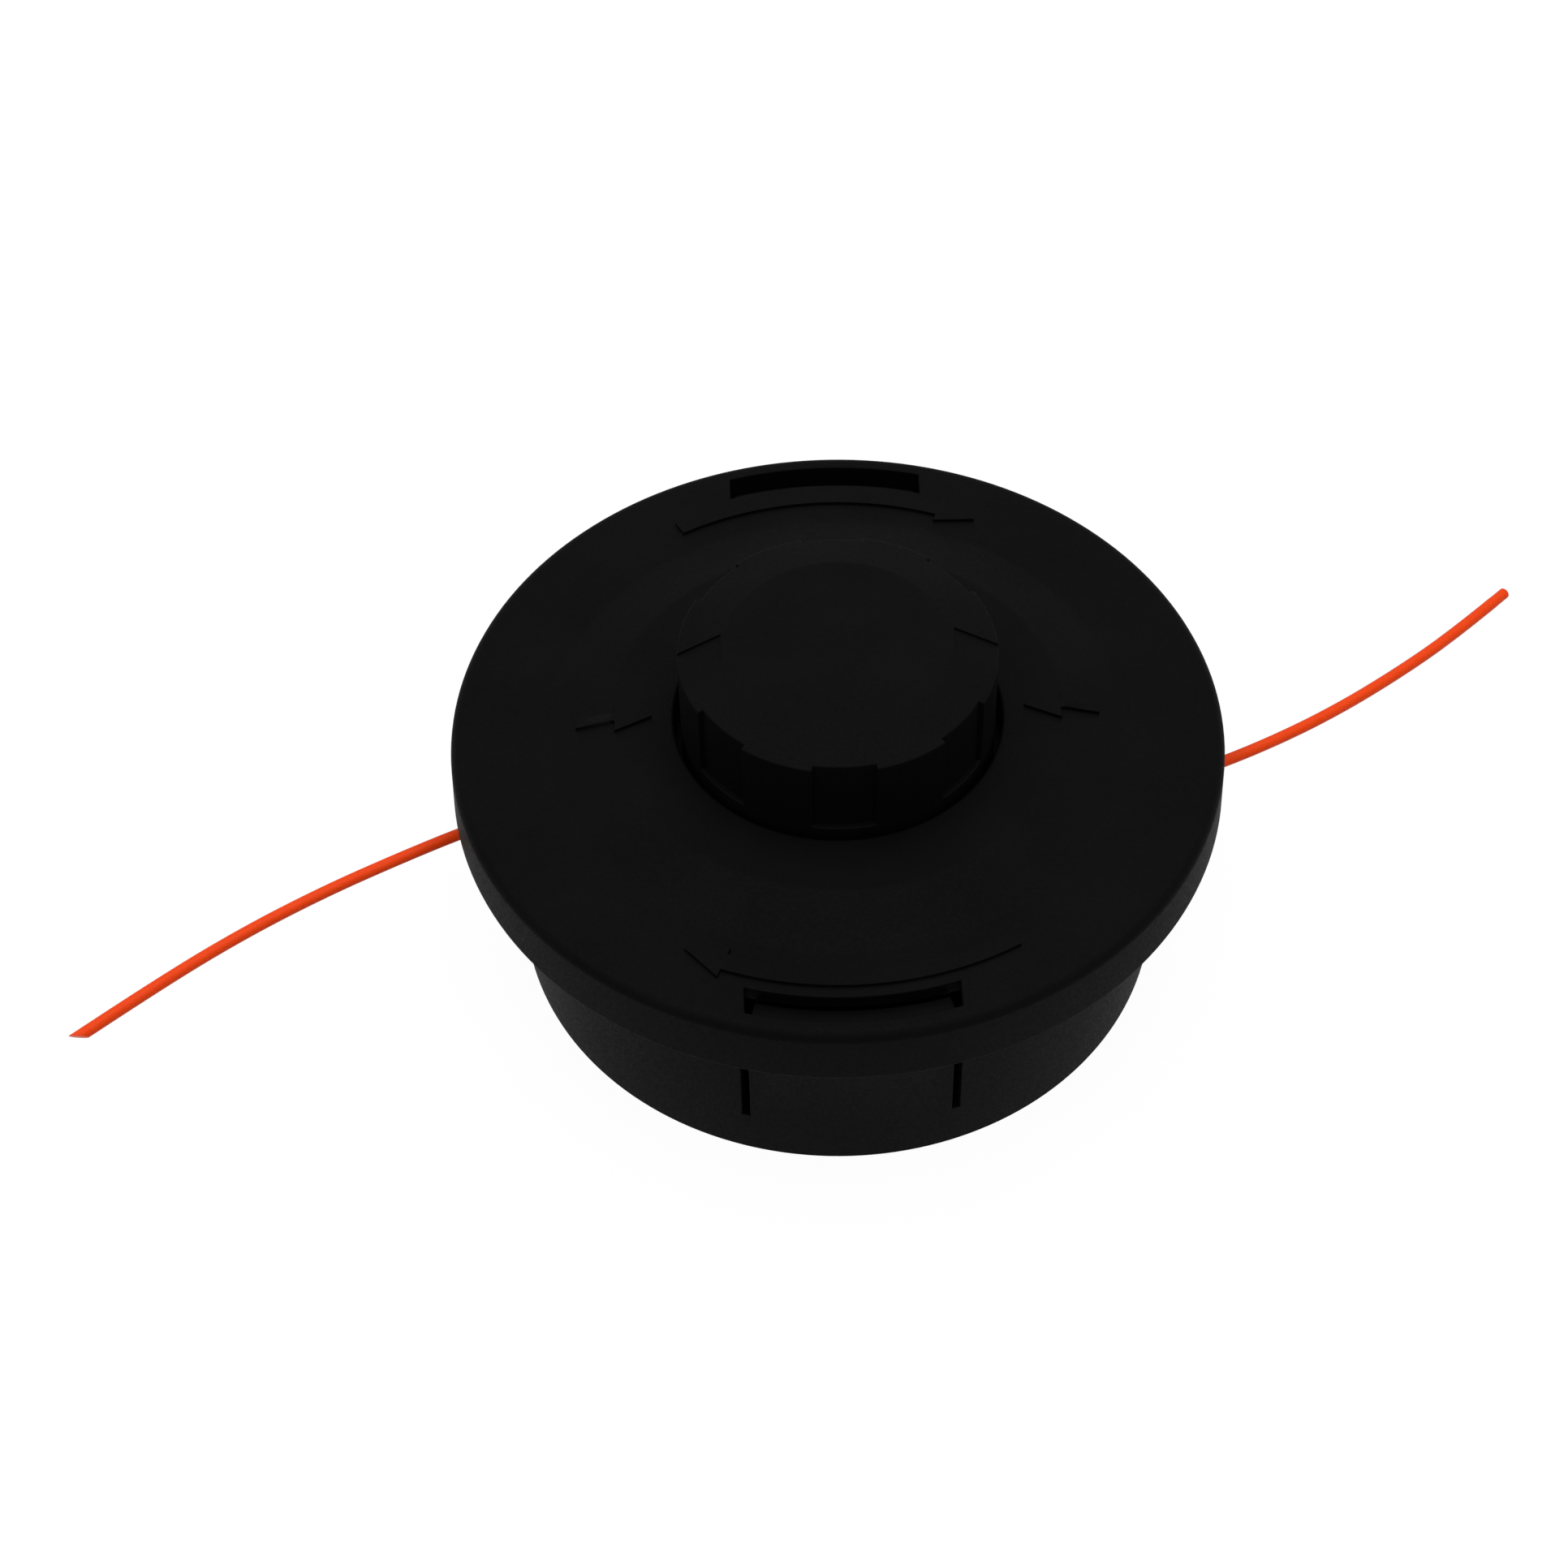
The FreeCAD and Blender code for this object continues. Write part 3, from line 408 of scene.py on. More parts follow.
def slice_off(bm: Form, place: Sequence[float], way: Sequence[float]) -> None:
    """Cut off what lies beyond a plane, given by a point of it and the way out, and close all rims."""
    bmesh.ops.bisect_plane(bm, geom=bm.verts[:] + bm.edges[:] + bm.faces[:], plane_co=place, plane_no=way,
                           clear_outer=True)
    close_up(bm)


def wind(bm: Form, radius: float, height: float, thickness: float, steps: int, turns: int = 1,
         rise: float = 0.0) -> None:
    """Wind a round wire about the drive axis.

    Args:
        bm: Mesh that gets the wire, with open ends.
        radius: Radius of the winding, to the wire's middle, in mm.
        height: Height where the wire's middle starts, in mm.
        thickness: Diameter of the wire in mm.
        steps: Faces along each turn.
        turns: Number of turns.
        rise: Height that all turns climb in mm; with none, the wire closes in a ring.
    """
    place = Matrix.Translation(Vector((radius, 0, height)) * MM) @ Matrix.Rotation(math.radians(90), 4, "X")
    verts = bmesh.ops.create_circle(bm, cap_ends=False, segments=WIRE_SIDES, radius=thickness / 2 * MM,
                                    matrix=place)["verts"]
    edges = list({edge for vert in verts for edge in vert.link_edges})
    bmesh.ops.spin(bm, geom=verts + edges, cent=(0, 0, 0), axis=(0, 0, 1), angle=2 * math.pi * turns,
                   dvec=(0, 0, rise * MM / (turns * steps)), steps=turns * steps, use_merge=not rise)


def ring(bm: Form, radius: float, height: float) -> Edges:
    """Return the edges on the circle of a radius and height in mm."""
    def on_it(vert: bmesh.types.BMVert) -> bool:
        """Tell whether a corner lies on the circle."""
        return (abs(vert.co.xy.length - radius * MM) < RING_GAP) and (abs(vert.co.z - height * MM) < RING_GAP)
    return [edge for edge in bm.edges if on_it(edge.verts[0]) and on_it(edge.verts[1])]


def outer_corners(bm: Form) -> Edges:
    """Return the edges at which the form turns outwards by a sharp corner."""
    return [edge for edge in bm.edges
            if len(edge.link_faces) == 2 and edge.is_convex and edge.calc_face_angle(0.0) > SHARP_TURN]


def round_off(bm: Form, edges: Edges, width: float, steps: int = 3) -> None:
    """Round edges off, over a width in mm to each side."""
    bmesh.ops.bevel(bm, geom=edges, offset=width * MM, offset_type="OFFSET", segments=steps, profile=0.5,
                    affect="EDGES", clamp_overlap=True, loop_slide=True, material=-1)


def absorb(bm: Form, other: Form) -> None:
    """Take another mesh into this one, and free it."""
    mesh = bpy.data.meshes.new("absorbed")
    other.to_mesh(mesh)
    other.free()
    bm.from_mesh(mesh)
    bpy.data.meshes.remove(mesh)


def carve(bm: Form, tool: Form, operation: str = "DIFFERENCE") -> None:
    """Cut a closed form out of another or join the two, and free the tool.

    Args:
        bm: Form that is changed.
        tool: Form that is cut out or joined on.
        operation: Name of the boolean operation.
    """
    pair = []
    for form in (bm, tool):
        mesh = bpy.data.meshes.new("blank")
        form.to_mesh(mesh)
        pair.append(add_object("blank", mesh))
    tool.free()
    boolean = pair[0].modifiers.new("carving", "BOOLEAN")
    boolean.operation, boolean.solver, boolean.object = operation, "EXACT", pair[1]
    carved = bpy.data.meshes.new_from_object(pair[0].evaluated_get(bpy.context.evaluated_depsgraph_get()))
    bm.clear()
    bm.from_mesh(carved)
    bpy.data.meshes.remove(carved)
    for blank in pair:
        bpy.data.meshes.remove(blank.data)


def six_sided(bm: Form, corner: float, low: float, high: float) -> None:
    """Stand a six-sided wall about the drive axis, with as many corners as a full turn of SIDE_STEP.

    Args:
        bm: Mesh that gets the wall.
        corner: Radius of its corners in mm.
        low: Its lower edge in mm.
        high: Its upper edge in mm.
    """
    place = Matrix.Translation((0, 0, low * MM)) @ Matrix.Rotation(math.radians(30), 4, "Z")
    verts = bmesh.ops.create_circle(bm, cap_ends=False, segments=6, radius=corner * MM, matrix=place)["verts"]
    sides = list({edge for vert in verts for edge in vert.link_edges})
    cuts = bmesh.ops.subdivide_edges(bm, edges=sides, cuts=round(FULL_TURN / SIDE_STEP / 6) - 1)
    foot = [item for item in cuts["geom"] if isinstance(item, bmesh.types.BMEdge)]
    walls = bmesh.ops.extrude_edge_only(bm, edges=foot)["geom"]
    bmesh.ops.translate(bm, verts=[item for item in walls if isinstance(item, bmesh.types.BMVert)],
                        vec=(0, 0, (high - low) * MM))


def bridge_level(bm: Form, height: float) -> None:
    """Join the two open rings at a height in mm by a ring of faces."""
    edges = [edge for edge in bm.edges
             if edge.is_boundary and all(abs(vert.co.z - height * MM) < RING_GAP for vert in edge.verts)]
    bmesh.ops.bridge_loops(bm, edges=edges)


def add_ramps(bm: Form, level: float, rise: float) -> None:
    """Set a ring of ratchet ramps on a flat face, each with one upright and one slanted flank.

    Args:
        bm: Mesh that gets the ramps.
        level: Height of the flat face in mm.
        rise: Height of the ramps in mm, below zero where they hang.
    """
    profile = ((-RAMP_HALF, level), (RAMP_HALF, level), (RAMP_HALF, level + rise), (RAMP_SLANT, level + rise))
    for index in range(RAMP_COUNT):
        round_axis = Matrix.Rotation(2 * math.pi * index / RAMP_COUNT, 3, "Z")
        face = bm.faces.new([bm.verts.new(round_axis @ Vector((RAMP_INNER, side, height)) * MM)
                             for side, height in profile])
        thicken(bm, [face], round_axis @ Vector((RAMP_DEPTH, 0, 0)))


@dataclass
class ClipCap:
    """The clip-on cap: plate with a raised middle, rim band, latch windows, ramps and raised arrows."""

    body: str = "housing"
    radius: float = 62.5
    draft: float = 0.4           # the band is this much narrower at its upper edge
    rim_round: float = 1.7
    band_low: float = 34.9
    top: float = 44.8
    plateau: float = 47.35
    wall: float = 2.6
    skirt_in: float = 60.4
    cone_outer: float = 46.3
    cone_inner: float = 36.4
    cone_round: float = 0.5
    hole: float = 26.3
    hole_round: float = 0.5
    guide: float = 28.1          # collar under the hole
    guide_low: float = 41.55
    window_out: float = 59.1
    window_in: float = 54.7
    window_half: float = 16.6    # about half a window's angle
    window_reach: float = 16.25  # from a window's middle to its straight ends
    window_near: float = 0.4     # a corner this near a window's end belongs to it
    pad_half: float = 18.2       # half span of the thicker skirt outside a window
    rib_half: float = 15.6
    rib_in: float = 57.3
    rib_low: float = 35.7
    rib_slant: float = 1.4
    rib_height: float = 2.4
    ramp_rise: float = 3.0
    corner: float = 0.25         # softening of the mould's corners
    mark_rise: float = 0.6
    mark_root: float = 0.6       # how deep the marks stand in the plate
    mark_corner: float = 0.1
    turn_radius: float = 51.4
    turn_width: float = 2.9
    turn_half: float = 29.2
    turn_head: float = 7.3       # angle of the curved arrow's head
    turn_barb: float = 2.9
    aim_tip: float = 29.8
    aim_base: float = 35.7
    aim_half: float = 2.9
    aim_tail: float = 42.0
    aim_shaft: float = 1.3       # half angle of the straight arrow's shaft

    def inner_zone(self) -> list[Corner]:
        """Return the outline of the plate from a window's inner edge to the hole and back underneath."""
        under, plateau_under = self.top - self.wall, self.plateau - self.wall
        return [(self.window_in, self.top), (self.cone_outer, self.top), (self.cone_inner, self.plateau),
                (self.hole, self.plateau), (self.hole, self.guide_low), (self.guide, self.guide_low),
                (self.guide, plateau_under), (self.cone_inner, plateau_under), (self.cone_outer, under),
                (self.window_in, under)]

    def outer_zone(self, skirt_in: float) -> list[Corner]:
        """Return the outline of the rim, from under a window's outer edge round the band to the top."""
        corners = [(self.window_out, self.top - self.wall), (skirt_in, self.top - self.wall),
                   (skirt_in, self.band_low), (self.skirt_in, self.band_low), (self.radius, self.band_low),
                   (self.radius - self.draft, self.top), (self.window_out, self.top)]
        return list(dict.fromkeys(corners))

    def plate(self) -> Form:
        """Return the plate and its band, with the windows left open."""
        bm = bmesh.new()
        under = self.top - self.wall
        cheek = self.pad_half - self.window_half
        window_end = [(self.window_out, self.top), (self.window_in, self.top), (self.window_in, under),
                      (self.window_out, under)]
        pad_end = [(self.window_out, under), (self.window_out, self.band_low), (self.skirt_in, self.band_low),
                   (self.skirt_in, under)]
        for middle in LATCHES:
            turn(bm, self.outer_zone(self.skirt_in) + self.inner_zone(), middle + self.pad_half,
                 FULL_TURN / 2 - 2 * self.pad_half)
            turn(bm, self.outer_zone(self.window_out), middle - self.window_half, 2 * self.window_half)
            turn(bm, self.inner_zone(), middle - self.window_half, 2 * self.window_half)
            for side, start in ((-1, -self.pad_half), (1, self.window_half)):
                turn(bm, self.outer_zone(self.window_out) + self.inner_zone(), middle + start, cheek)
                add_wall(bm, window_end, middle + side * self.window_half)
                add_wall(bm, pad_end, middle + side * self.pad_half)
        knit(bm)
        self.straighten_windows(bm)
        round_off(bm, ring(bm, self.radius - self.draft, self.top), self.rim_round, steps=6)
        round_off(bm, ring(bm, self.hole, self.plateau), self.hole_round, steps=4)
        for radius, height in ((self.cone_outer, self.top), (self.cone_inner, self.plateau)):
            round_off(bm, ring(bm, radius, height), self.cone_round, steps=2)
        round_off(bm, outer_corners(bm), self.corner)
        return bm

    def straighten_windows(self, bm: Form) -> None:
        """Move the corners at the windows' ends round the drive axis until both ends stand parallel."""
        for vert in bm.verts:
            radius, height = vert.co.xy.length / MM, vert.co.z / MM
            azimuth = math.degrees(math.atan2(vert.co.y, vert.co.x)) % FULL_TURN
            middle = min(LATCHES, key=lambda latch: abs(latch - azimuth))
            offset = azimuth - middle
            at_end = abs(abs(offset) - self.window_half) < self.window_near
            at_side = min(abs(radius - self.window_in), abs(radius - self.window_out)) < self.window_near
            if at_end and at_side and height > self.top - self.wall - self.window_near:
                straight = math.degrees(math.asin(self.window_reach / radius))
                vert.co = polar(radius, middle + math.copysign(straight, offset), height)

    def add_turn_arrow(self, bm: Form, middle: float) -> None:
        """Lay the top of a curved arrow, whose tip points clockwise from above, about an azimuth."""
        level = self.top + self.mark_rise
        inner, outer = self.turn_radius - self.turn_width / 2, self.turn_radius + self.turn_width / 2
        back = middle - self.turn_half + self.turn_head
        turn(bm, [(inner, level), (outer, level)], back, 2 * self.turn_half - self.turn_head, closed=False)
        head = [(self.turn_radius, middle - self.turn_half), (self.turn_radius - self.turn_barb, back),
                (inner, back), (outer, back), (self.turn_radius + self.turn_barb, back)]
        bm.faces.new([bm.verts.new(polar(radius, azimuth, level)) for radius, azimuth in head])

    def add_aim_arrow(self, bm: Form, azimuth: float) -> None:
        """Lay the top of a straight arrow that points at the knob along an azimuth."""
        slope = (self.plateau - self.top) / (self.cone_outer - self.cone_inner)
        level = self.plateau + self.mark_rise
        tail = level - (self.aim_tail - self.cone_inner) * slope
        turn(bm, [(self.aim_base, level), (self.cone_inner, level), (self.aim_tail, tail)],
             azimuth - self.aim_shaft, 2 * self.aim_shaft, closed=False)
        barb = math.degrees(math.atan2(self.aim_half, self.aim_base))
        reach = math.hypot(self.aim_half, self.aim_base)
        head = [(self.aim_tip, 0.0), (reach, barb), (self.aim_base, self.aim_shaft),
                (self.aim_base, -self.aim_shaft), (reach, -barb)]
        bm.faces.new([bm.verts.new(polar(radius, azimuth + way, level)) for radius, way in head])

    def marks(self) -> Form:
        """Return the raised arrows, which stand a little way into the plate."""
        bm = bmesh.new()
        for middle in LATCHES:
            self.add_turn_arrow(bm, middle)
            self.add_aim_arrow(bm, middle + FULL_TURN / 4)
        bmesh.ops.remove_doubles(bm, verts=bm.verts[:], dist=MERGE_GAP)
        thicken(bm, bm.faces[:], Vector((0, 0, -self.mark_rise - self.mark_root)))
        knit(bm)
        rims = [edge for edge in outer_corners(bm)
                if abs(edge.verts[0].co.z - edge.verts[1].co.z) < self.mark_rise * MM
                and edge.verts[0].co.z > (self.top + self.mark_rise / 2) * MM]
        round_off(bm, rims, self.mark_corner, steps=2)
        return bm

    def build(self) -> None:
        """Build and dress the cap."""
        bm = self.plate()
        hidden = bmesh.new()
        add_ramps(hidden, self.plateau - self.wall, -self.ramp_rise)
        rib = [(self.skirt_in, self.rib_low), (self.window_out, self.rib_low),
               (self.rib_in, self.rib_low + self.rib_slant), (self.rib_in, self.rib_low + self.rib_height),
               (self.skirt_in, self.rib_low + self.rib_height)]
        for middle in LATCHES:
            add_block(hidden, rib, middle, self.rib_half)
        knit(hidden)
        absorb(bm, hidden)
        absorb(bm, self.marks())
        seat(new_piece("clip_cap", bm), self.body, "nylon_black", NYLON, "cap")


@dataclass
class Cup:
    """The moulded cup: floor, wall with two latch tongues, drive boss and the post that guides the spool."""

    body: str = "housing"
    radius: float = 53.5
    wall: float = 2.2
    foot_round: float = 0.4
    floor_under: float = 2.3
    floor: float = 4.55
    flare: float = 31.9          # height where the wall starts to widen
    flare_shift: float = 1.2     # the inner side widens this much higher up
    collar: float = 60.1
    collar_low: float = 36.4
    collar_top: float = 42.2
    slit_low: float = 9.1
    slit_width: float = 1.3
    latch_half: float = 18.2
    nose_half: float = 15.6
    stem: float = 57.0
    knee: float = 35.4
    nose_out: float = 58.8
    nose_low: float = 38.4
    nose_top: float = 41.7
    nose_lead: float = 0.8
    ramp_rise: float = 3.0
    boss: float = 12.865
    boss_top: float = 13.5
    seat_corner: float = 9.865   # corners of the drive nut's seat
    seat_mouth: float = 3.0
    seat_top: float = 10.5
    shaft: float = 5.3
    shaft_top: float = 30.0
    post: float = 8.0
    post_top: float = 43.45
    post_lead: float = 0.75
    stay_count: int = 8
    stay_wall: float = 1.8
    stay_low: float = 0.8
    pad_face: float = 54.8
    pad_radius: float = 5.6
    pad_depth: float = 2.4
    outlet: float = 3.25
    outlet_height: float = 26.0
    outlet_offset: float = 1.1
    outlet_sides: int = 48
    corner: float = 0.22         # softening of the mould's corners

    def shell(self) -> Form:
        """Return the floor and the wall, with the latch tongues between their slits."""
        bm = bmesh.new()
        inner, collar_in, stem_in = self.radius - self.wall, self.collar - self.wall, self.stem - self.wall
        below = [(self.boss - self.wall / 2, self.floor_under), (inner, self.floor_under), (inner, 0.0),
                 (self.radius, 0.0)]
        above = [(inner, self.floor), (self.boss - self.wall / 2, self.floor)]
        slit = [(self.radius, self.slit_low), (inner, self.slit_low)]
        collar = [(self.radius, self.flare), (self.collar, self.collar_low), (self.collar, self.collar_top),
                  (collar_in, self.collar_top), (collar_in, self.collar_low + self.flare_shift),
                  (inner, self.flare + self.flare_shift)]
        stub = [(self.radius, self.flare), (inner, self.flare)]
        tongue = [(self.radius, self.flare), (self.stem, self.knee), (self.stem, self.nose_low),
                  (self.nose_out, self.nose_low), (self.nose_out, self.nose_top - self.nose_lead),
                  (self.nose_out - self.nose_lead, self.nose_top), (stem_in, self.nose_top),
                  (stem_in, self.knee + self.flare_shift), (inner, self.flare + self.flare_shift),
                  (inner, self.flare)]
        slit_half = math.degrees(self.slit_width / 2 / self.radius)
        opens, ends = self.latch_half - slit_half, self.latch_half + slit_half
        for middle in LATCHES:
            turn(bm, below + slit[:1] + collar + slit[1:] + above, middle + ends, FULL_TURN / 2 - 2 * ends)
            turn(bm, below + slit[:1] + tongue + slit[1:] + above, middle - self.nose_half,
                 2 * self.nose_half)
            for side in (-1, 1):
                slit_start = middle + side * self.latch_half - slit_half
                stub_start = min(middle + side * self.nose_half, middle + side * opens)
                turn(bm, below + slit + above, slit_start, 2 * slit_half)
                turn(bm, below + slit[:1] + stub + slit[1:] + above, stub_start, opens - self.nose_half)
                add_wall(bm, slit[:1] + collar + slit[1:], middle + side * ends)
                add_wall(bm, slit[:1] + stub + slit[1:], middle + side * opens)
                add_wall(bm, tongue, middle + side * self.nose_half)
        knit(bm)
        round_off(bm, ring(bm, self.radius, 0.0), self.foot_round, steps=4)
        round_off(bm, outer_corners(bm), self.corner)
        return bm

    def outlets(self, radius: float, face: float, depth: float) -> Form:
        """Return a round plug at each line outlet, from a face at a radius in mm inwards by a depth."""
        bm = bmesh.new()
        for way in (1, -1):
            middle = Vector((way * (face - depth / 2), way * self.outlet_offset, self.outlet_height)) * MM
            bmesh.ops.create_cone(bm, cap_ends=True, segments=self.outlet_sides, radius1=radius * MM,
                                  radius2=radius * MM, depth=depth * MM, matrix=Matrix.Translation(middle)
                                  @ Matrix.Rotation(math.radians(90), 4, "Y"))
        return bm

    def drive_boss(self) -> Form:
        """Return the boss with the drive nut's six-sided seat, and the post above it."""
        bm = bmesh.new()
        turn(bm, [(self.seat_corner, self.seat_mouth), (self.seat_corner, 0.0), (self.boss, 0.0),
                  (self.boss, self.boss_top), (self.post, self.boss_top),
                  (self.post, self.post_top - self.post_lead), (self.post - self.post_lead, self.post_top),
                  (0.0, self.post_top)], closed=False, step=SIDE_STEP)
        turn(bm, [(self.shaft, self.seat_top), (self.shaft, self.shaft_top), (0.0, self.shaft_top)],
             closed=False, step=SIDE_STEP)
        six_sided(bm, self.seat_corner, self.seat_mouth, self.seat_top)
        bridge_level(bm, self.seat_mouth)
        bridge_level(bm, self.seat_top)
        knit(bm)
        for radius in (self.seat_corner, self.boss):
            round_off(bm, ring(bm, radius, 0.0), self.corner)
        return bm

    def stays(self) -> Form:
        """Return the ribs under the floor."""
        bm = bmesh.new()
        high = (self.floor_under + self.floor) / 2
        start, end = self.boss - self.wall / 2, self.radius - self.wall / 2
        size = Vector((self.stay_wall, end - start, high - self.stay_low)) * MM
        middle = Vector((0, (start + end) / 2, (high + self.stay_low) / 2)) * MM
        for index in range(self.stay_count):
            place = (Matrix.Rotation(2 * math.pi * index / self.stay_count, 4, "Z")
                     @ Matrix.Translation(middle) @ Matrix.Diagonal((*size, 1.0)))
            bmesh.ops.create_cube(bm, size=1.0, matrix=place)
        round_off(bm, outer_corners(bm), self.corner)
        return bm

    def build(self) -> None:
        """Build and dress the cup."""
        bm = self.shell()
        pads = self.outlets(self.pad_radius, self.pad_face, self.pad_depth)
        round_off(pads, outer_corners(pads), self.corner)
        carve(bm, pads, "UNION")
        carve(bm, self.outlets(self.outlet, self.pad_face + self.wall, 4 * self.wall))
        ramps = bmesh.new()
        add_ramps(ramps, self.floor, self.ramp_rise)
        knit(ramps)
        for form in (ramps, self.drive_boss(), self.stays()):
            absorb(bm, form)
        seat(new_piece("cup", bm), self.body, "nylon_black", NYLON, "housing")


@dataclass
class DriveNut:
    """The steel nut that takes the machine's left-hand shaft thread."""

    body: str = "housing"
    corner_radius: float = 9.815
    low: float = 0.5
    high: float = 10.5
    root: float = 5.0            # radius of the thread's root
    crest: float = 4.46
    pitch: float = 1.0
    flank_share: float = 0.42    # the ridge's half width at its root, against the pitch
    land_share: float = 0.06     # and at its crest
    lead: float = 0.8            # countersink at both ends
    corner: float = 0.15

    def build(self) -> None:
        """Build and dress the nut."""
        bm = bmesh.new()
        six_sided(bm, self.corner_radius, self.low, self.high)
        mouth = self.crest + self.lead
        turn(bm, [(mouth, self.low), (self.root, self.low + self.lead), (self.root, self.high - self.lead),
                  (mouth, self.high)], closed=False, step=SIDE_STEP)
        for level in (self.low, self.high):
            bridge_level(bm, level)
        knit(bm)
        round_off(bm, outer_corners(bm), self.corner)
        absorb(bm, self.thread())
        seat(new_piece("hexagon_nut", bm), self.body, "zinc_steel", ZINC, "drive_nut")

    def thread(self) -> Form:
        """Return the thread's ridge, wound to the left."""
        bm = bmesh.new()
        flank, land = self.pitch * self.flank_share, self.pitch * self.land_share
        root = self.root + self.corner
        ridge = [(root, -flank), (self.crest, -land), (self.crest, land), (root, flank)]
        start = self.low + self.lead + flank
        turns = round((self.high - self.low - 2 * self.lead - 2 * flank) / self.pitch)
        verts = [bm.verts.new(polar(radius, 0.0, start + height)) for radius, height in ridge]
        face = bm.faces.new(verts)
        steps = turns * round(FULL_TURN / SIDE_STEP)
        bmesh.ops.spin(bm, geom=[face, *face.edges, *verts], cent=(0, 0, 0), axis=(0, 0, 1),
                       dvec=(0, 0, turns * self.pitch * MM / steps), angle=-2 * math.pi * turns, steps=steps)
        knit(bm)
        return bm


@dataclass
class LineEyelets:
    """The two turned metal sleeves that guide the line through the wall."""

    body: str = "housing"
    bore: float = 2.0
    sleeve: float = 3.2
    flange: float = 4.6
    lip: float = 0.8
    depth: float = 3.5
    mouth_round: float = 0.5
    corner: float = 0.15
    face: float = 54.8           # where the flange sits, from the drive axis
    offset: float = 1.1
    height: float = 26.0

    def build(self) -> None:
        """Build and dress both eyelets."""
        for side, way in (("right", 1), ("left", -1)):
            bm = bmesh.new()
            turn(bm, [(self.bore, -self.depth), (self.sleeve, -self.depth), (self.sleeve, 0.0),
                      (self.flange, 0.0), (self.flange, self.lip), (self.bore, self.lip)], step=SIDE_STEP)
            knit(bm)
            for level in (-self.depth, self.lip):
                round_off(bm, ring(bm, self.bore, level), self.mouth_round, steps=5)
            round_off(bm, outer_corners(bm), self.corner)
            place = (Matrix.Translation(Vector((way * self.face, way * self.offset, self.height)) * MM)
                     @ Matrix.Rotation(math.radians(90 * way), 4, "Y"))
            bmesh.ops.transform(bm, matrix=place, verts=bm.verts[:])
            seat(new_piece(f"line_eyelet_{side}", bm), self.body, "bright_aluminium", ALUMINIUM,
                 f"eyelet_{side}")


@dataclass
class BumpKnob:
    """The hollow knob that is bumped on the ground, with side pockets for the fingers and two pointers."""

    body: str = "spool"
    radius: float = 25.2
    inner: float = 22.8
    low: float = 38.45
    edge: float = 61.8           # where the wall meets the crown's bevel
    top: float = 63.5
    flat: float = 17.6
    flat_round: float = 0.4
    crown: float = 3.4
    pocket_half: float = 11.4
    pocket_step: float = 49.8
    pocket_depth: float = 0.9
    pocket_floor: float = 48.55
    pointer_base: float = 18.3
    pointer_tip: float = 26.2
    pointer_half: float = 2.9
    pointer_depth: float = 0.4   # below the bevel
    corner: float = 0.22
    step: float = 3.0

    def pocket_edge(self) -> Corner:
        """Return where a pocket's wall meets the crown's bevel."""
        radius = self.radius - self.pocket_depth
        return radius, self.edge + self.pocket_depth * (self.top - self.edge) / (self.radius - self.flat)

    def shell(self) -> Form:
        """Return the hollow knob with its side pockets."""
        bm = bmesh.new()
        crown = [(0.0, self.top), (self.flat, self.top), self.pocket_edge()]
        ledge = (self.radius, self.pocket_floor)
        back = (self.radius - self.pocket_depth, self.pocket_floor)
        inside = [(self.radius, self.low), (self.inner, self.low), (self.inner, self.top - self.crown),
                  (0.0, self.top - self.crown)]
        plain = crown + [(self.radius, self.edge), ledge] + inside
        pocket = crown + [back, ledge] + inside
        middles = sorted(latch + step * self.pocket_step for latch in LATCHES for step in (-1, 0, 1))
        for middle, after in zip(middles, middles[1:] + [middles[0] + FULL_TURN]):
            turn(bm, pocket, middle - self.pocket_half, 2 * self.pocket_half, closed=False, step=self.step)
            turn(bm, plain, middle + self.pocket_half, after - middle - 2 * self.pocket_half, closed=False,
                 step=self.step)
            for side in (-1, 1):
                add_wall(bm, [(self.radius, self.edge), self.pocket_edge(), back, ledge],
                         middle + side * self.pocket_half)
        knit(bm)
        round_off(bm, ring(bm, self.flat, self.top), self.flat_round, steps=2)
        round_off(bm, outer_corners(bm), self.corner)
        return bm

    def pointers(self) -> Form:
        """Return the two wedges that are cut out of the crown's bevel, along its slope."""
        bm = bmesh.new()
        slope = (self.top - self.edge) / (self.radius - self.flat)
        for way in (1, -1):
            corners = ((self.pointer_base, -self.pointer_half), (self.pointer_tip, 0.0),
                       (self.pointer_base, self.pointer_half))
            places = [Vector((way * x, way * y, self.top - (x - self.flat) * slope - self.pointer_depth)) * MM
                      for x, y in corners]
            face = bm.faces.new([bm.verts.new(place) for place in places])
            thicken(bm, [face], Vector((0, 0, self.top - self.edge)))
        knit(bm)
        return bm

    def build(self) -> None:
        """Build and dress the knob."""
        bm = self.shell()
        carve(bm, self.pointers())
        seat(new_piece("knob", bm), self.body, "knob_black", KNOB_NYLON, "bump_knob")


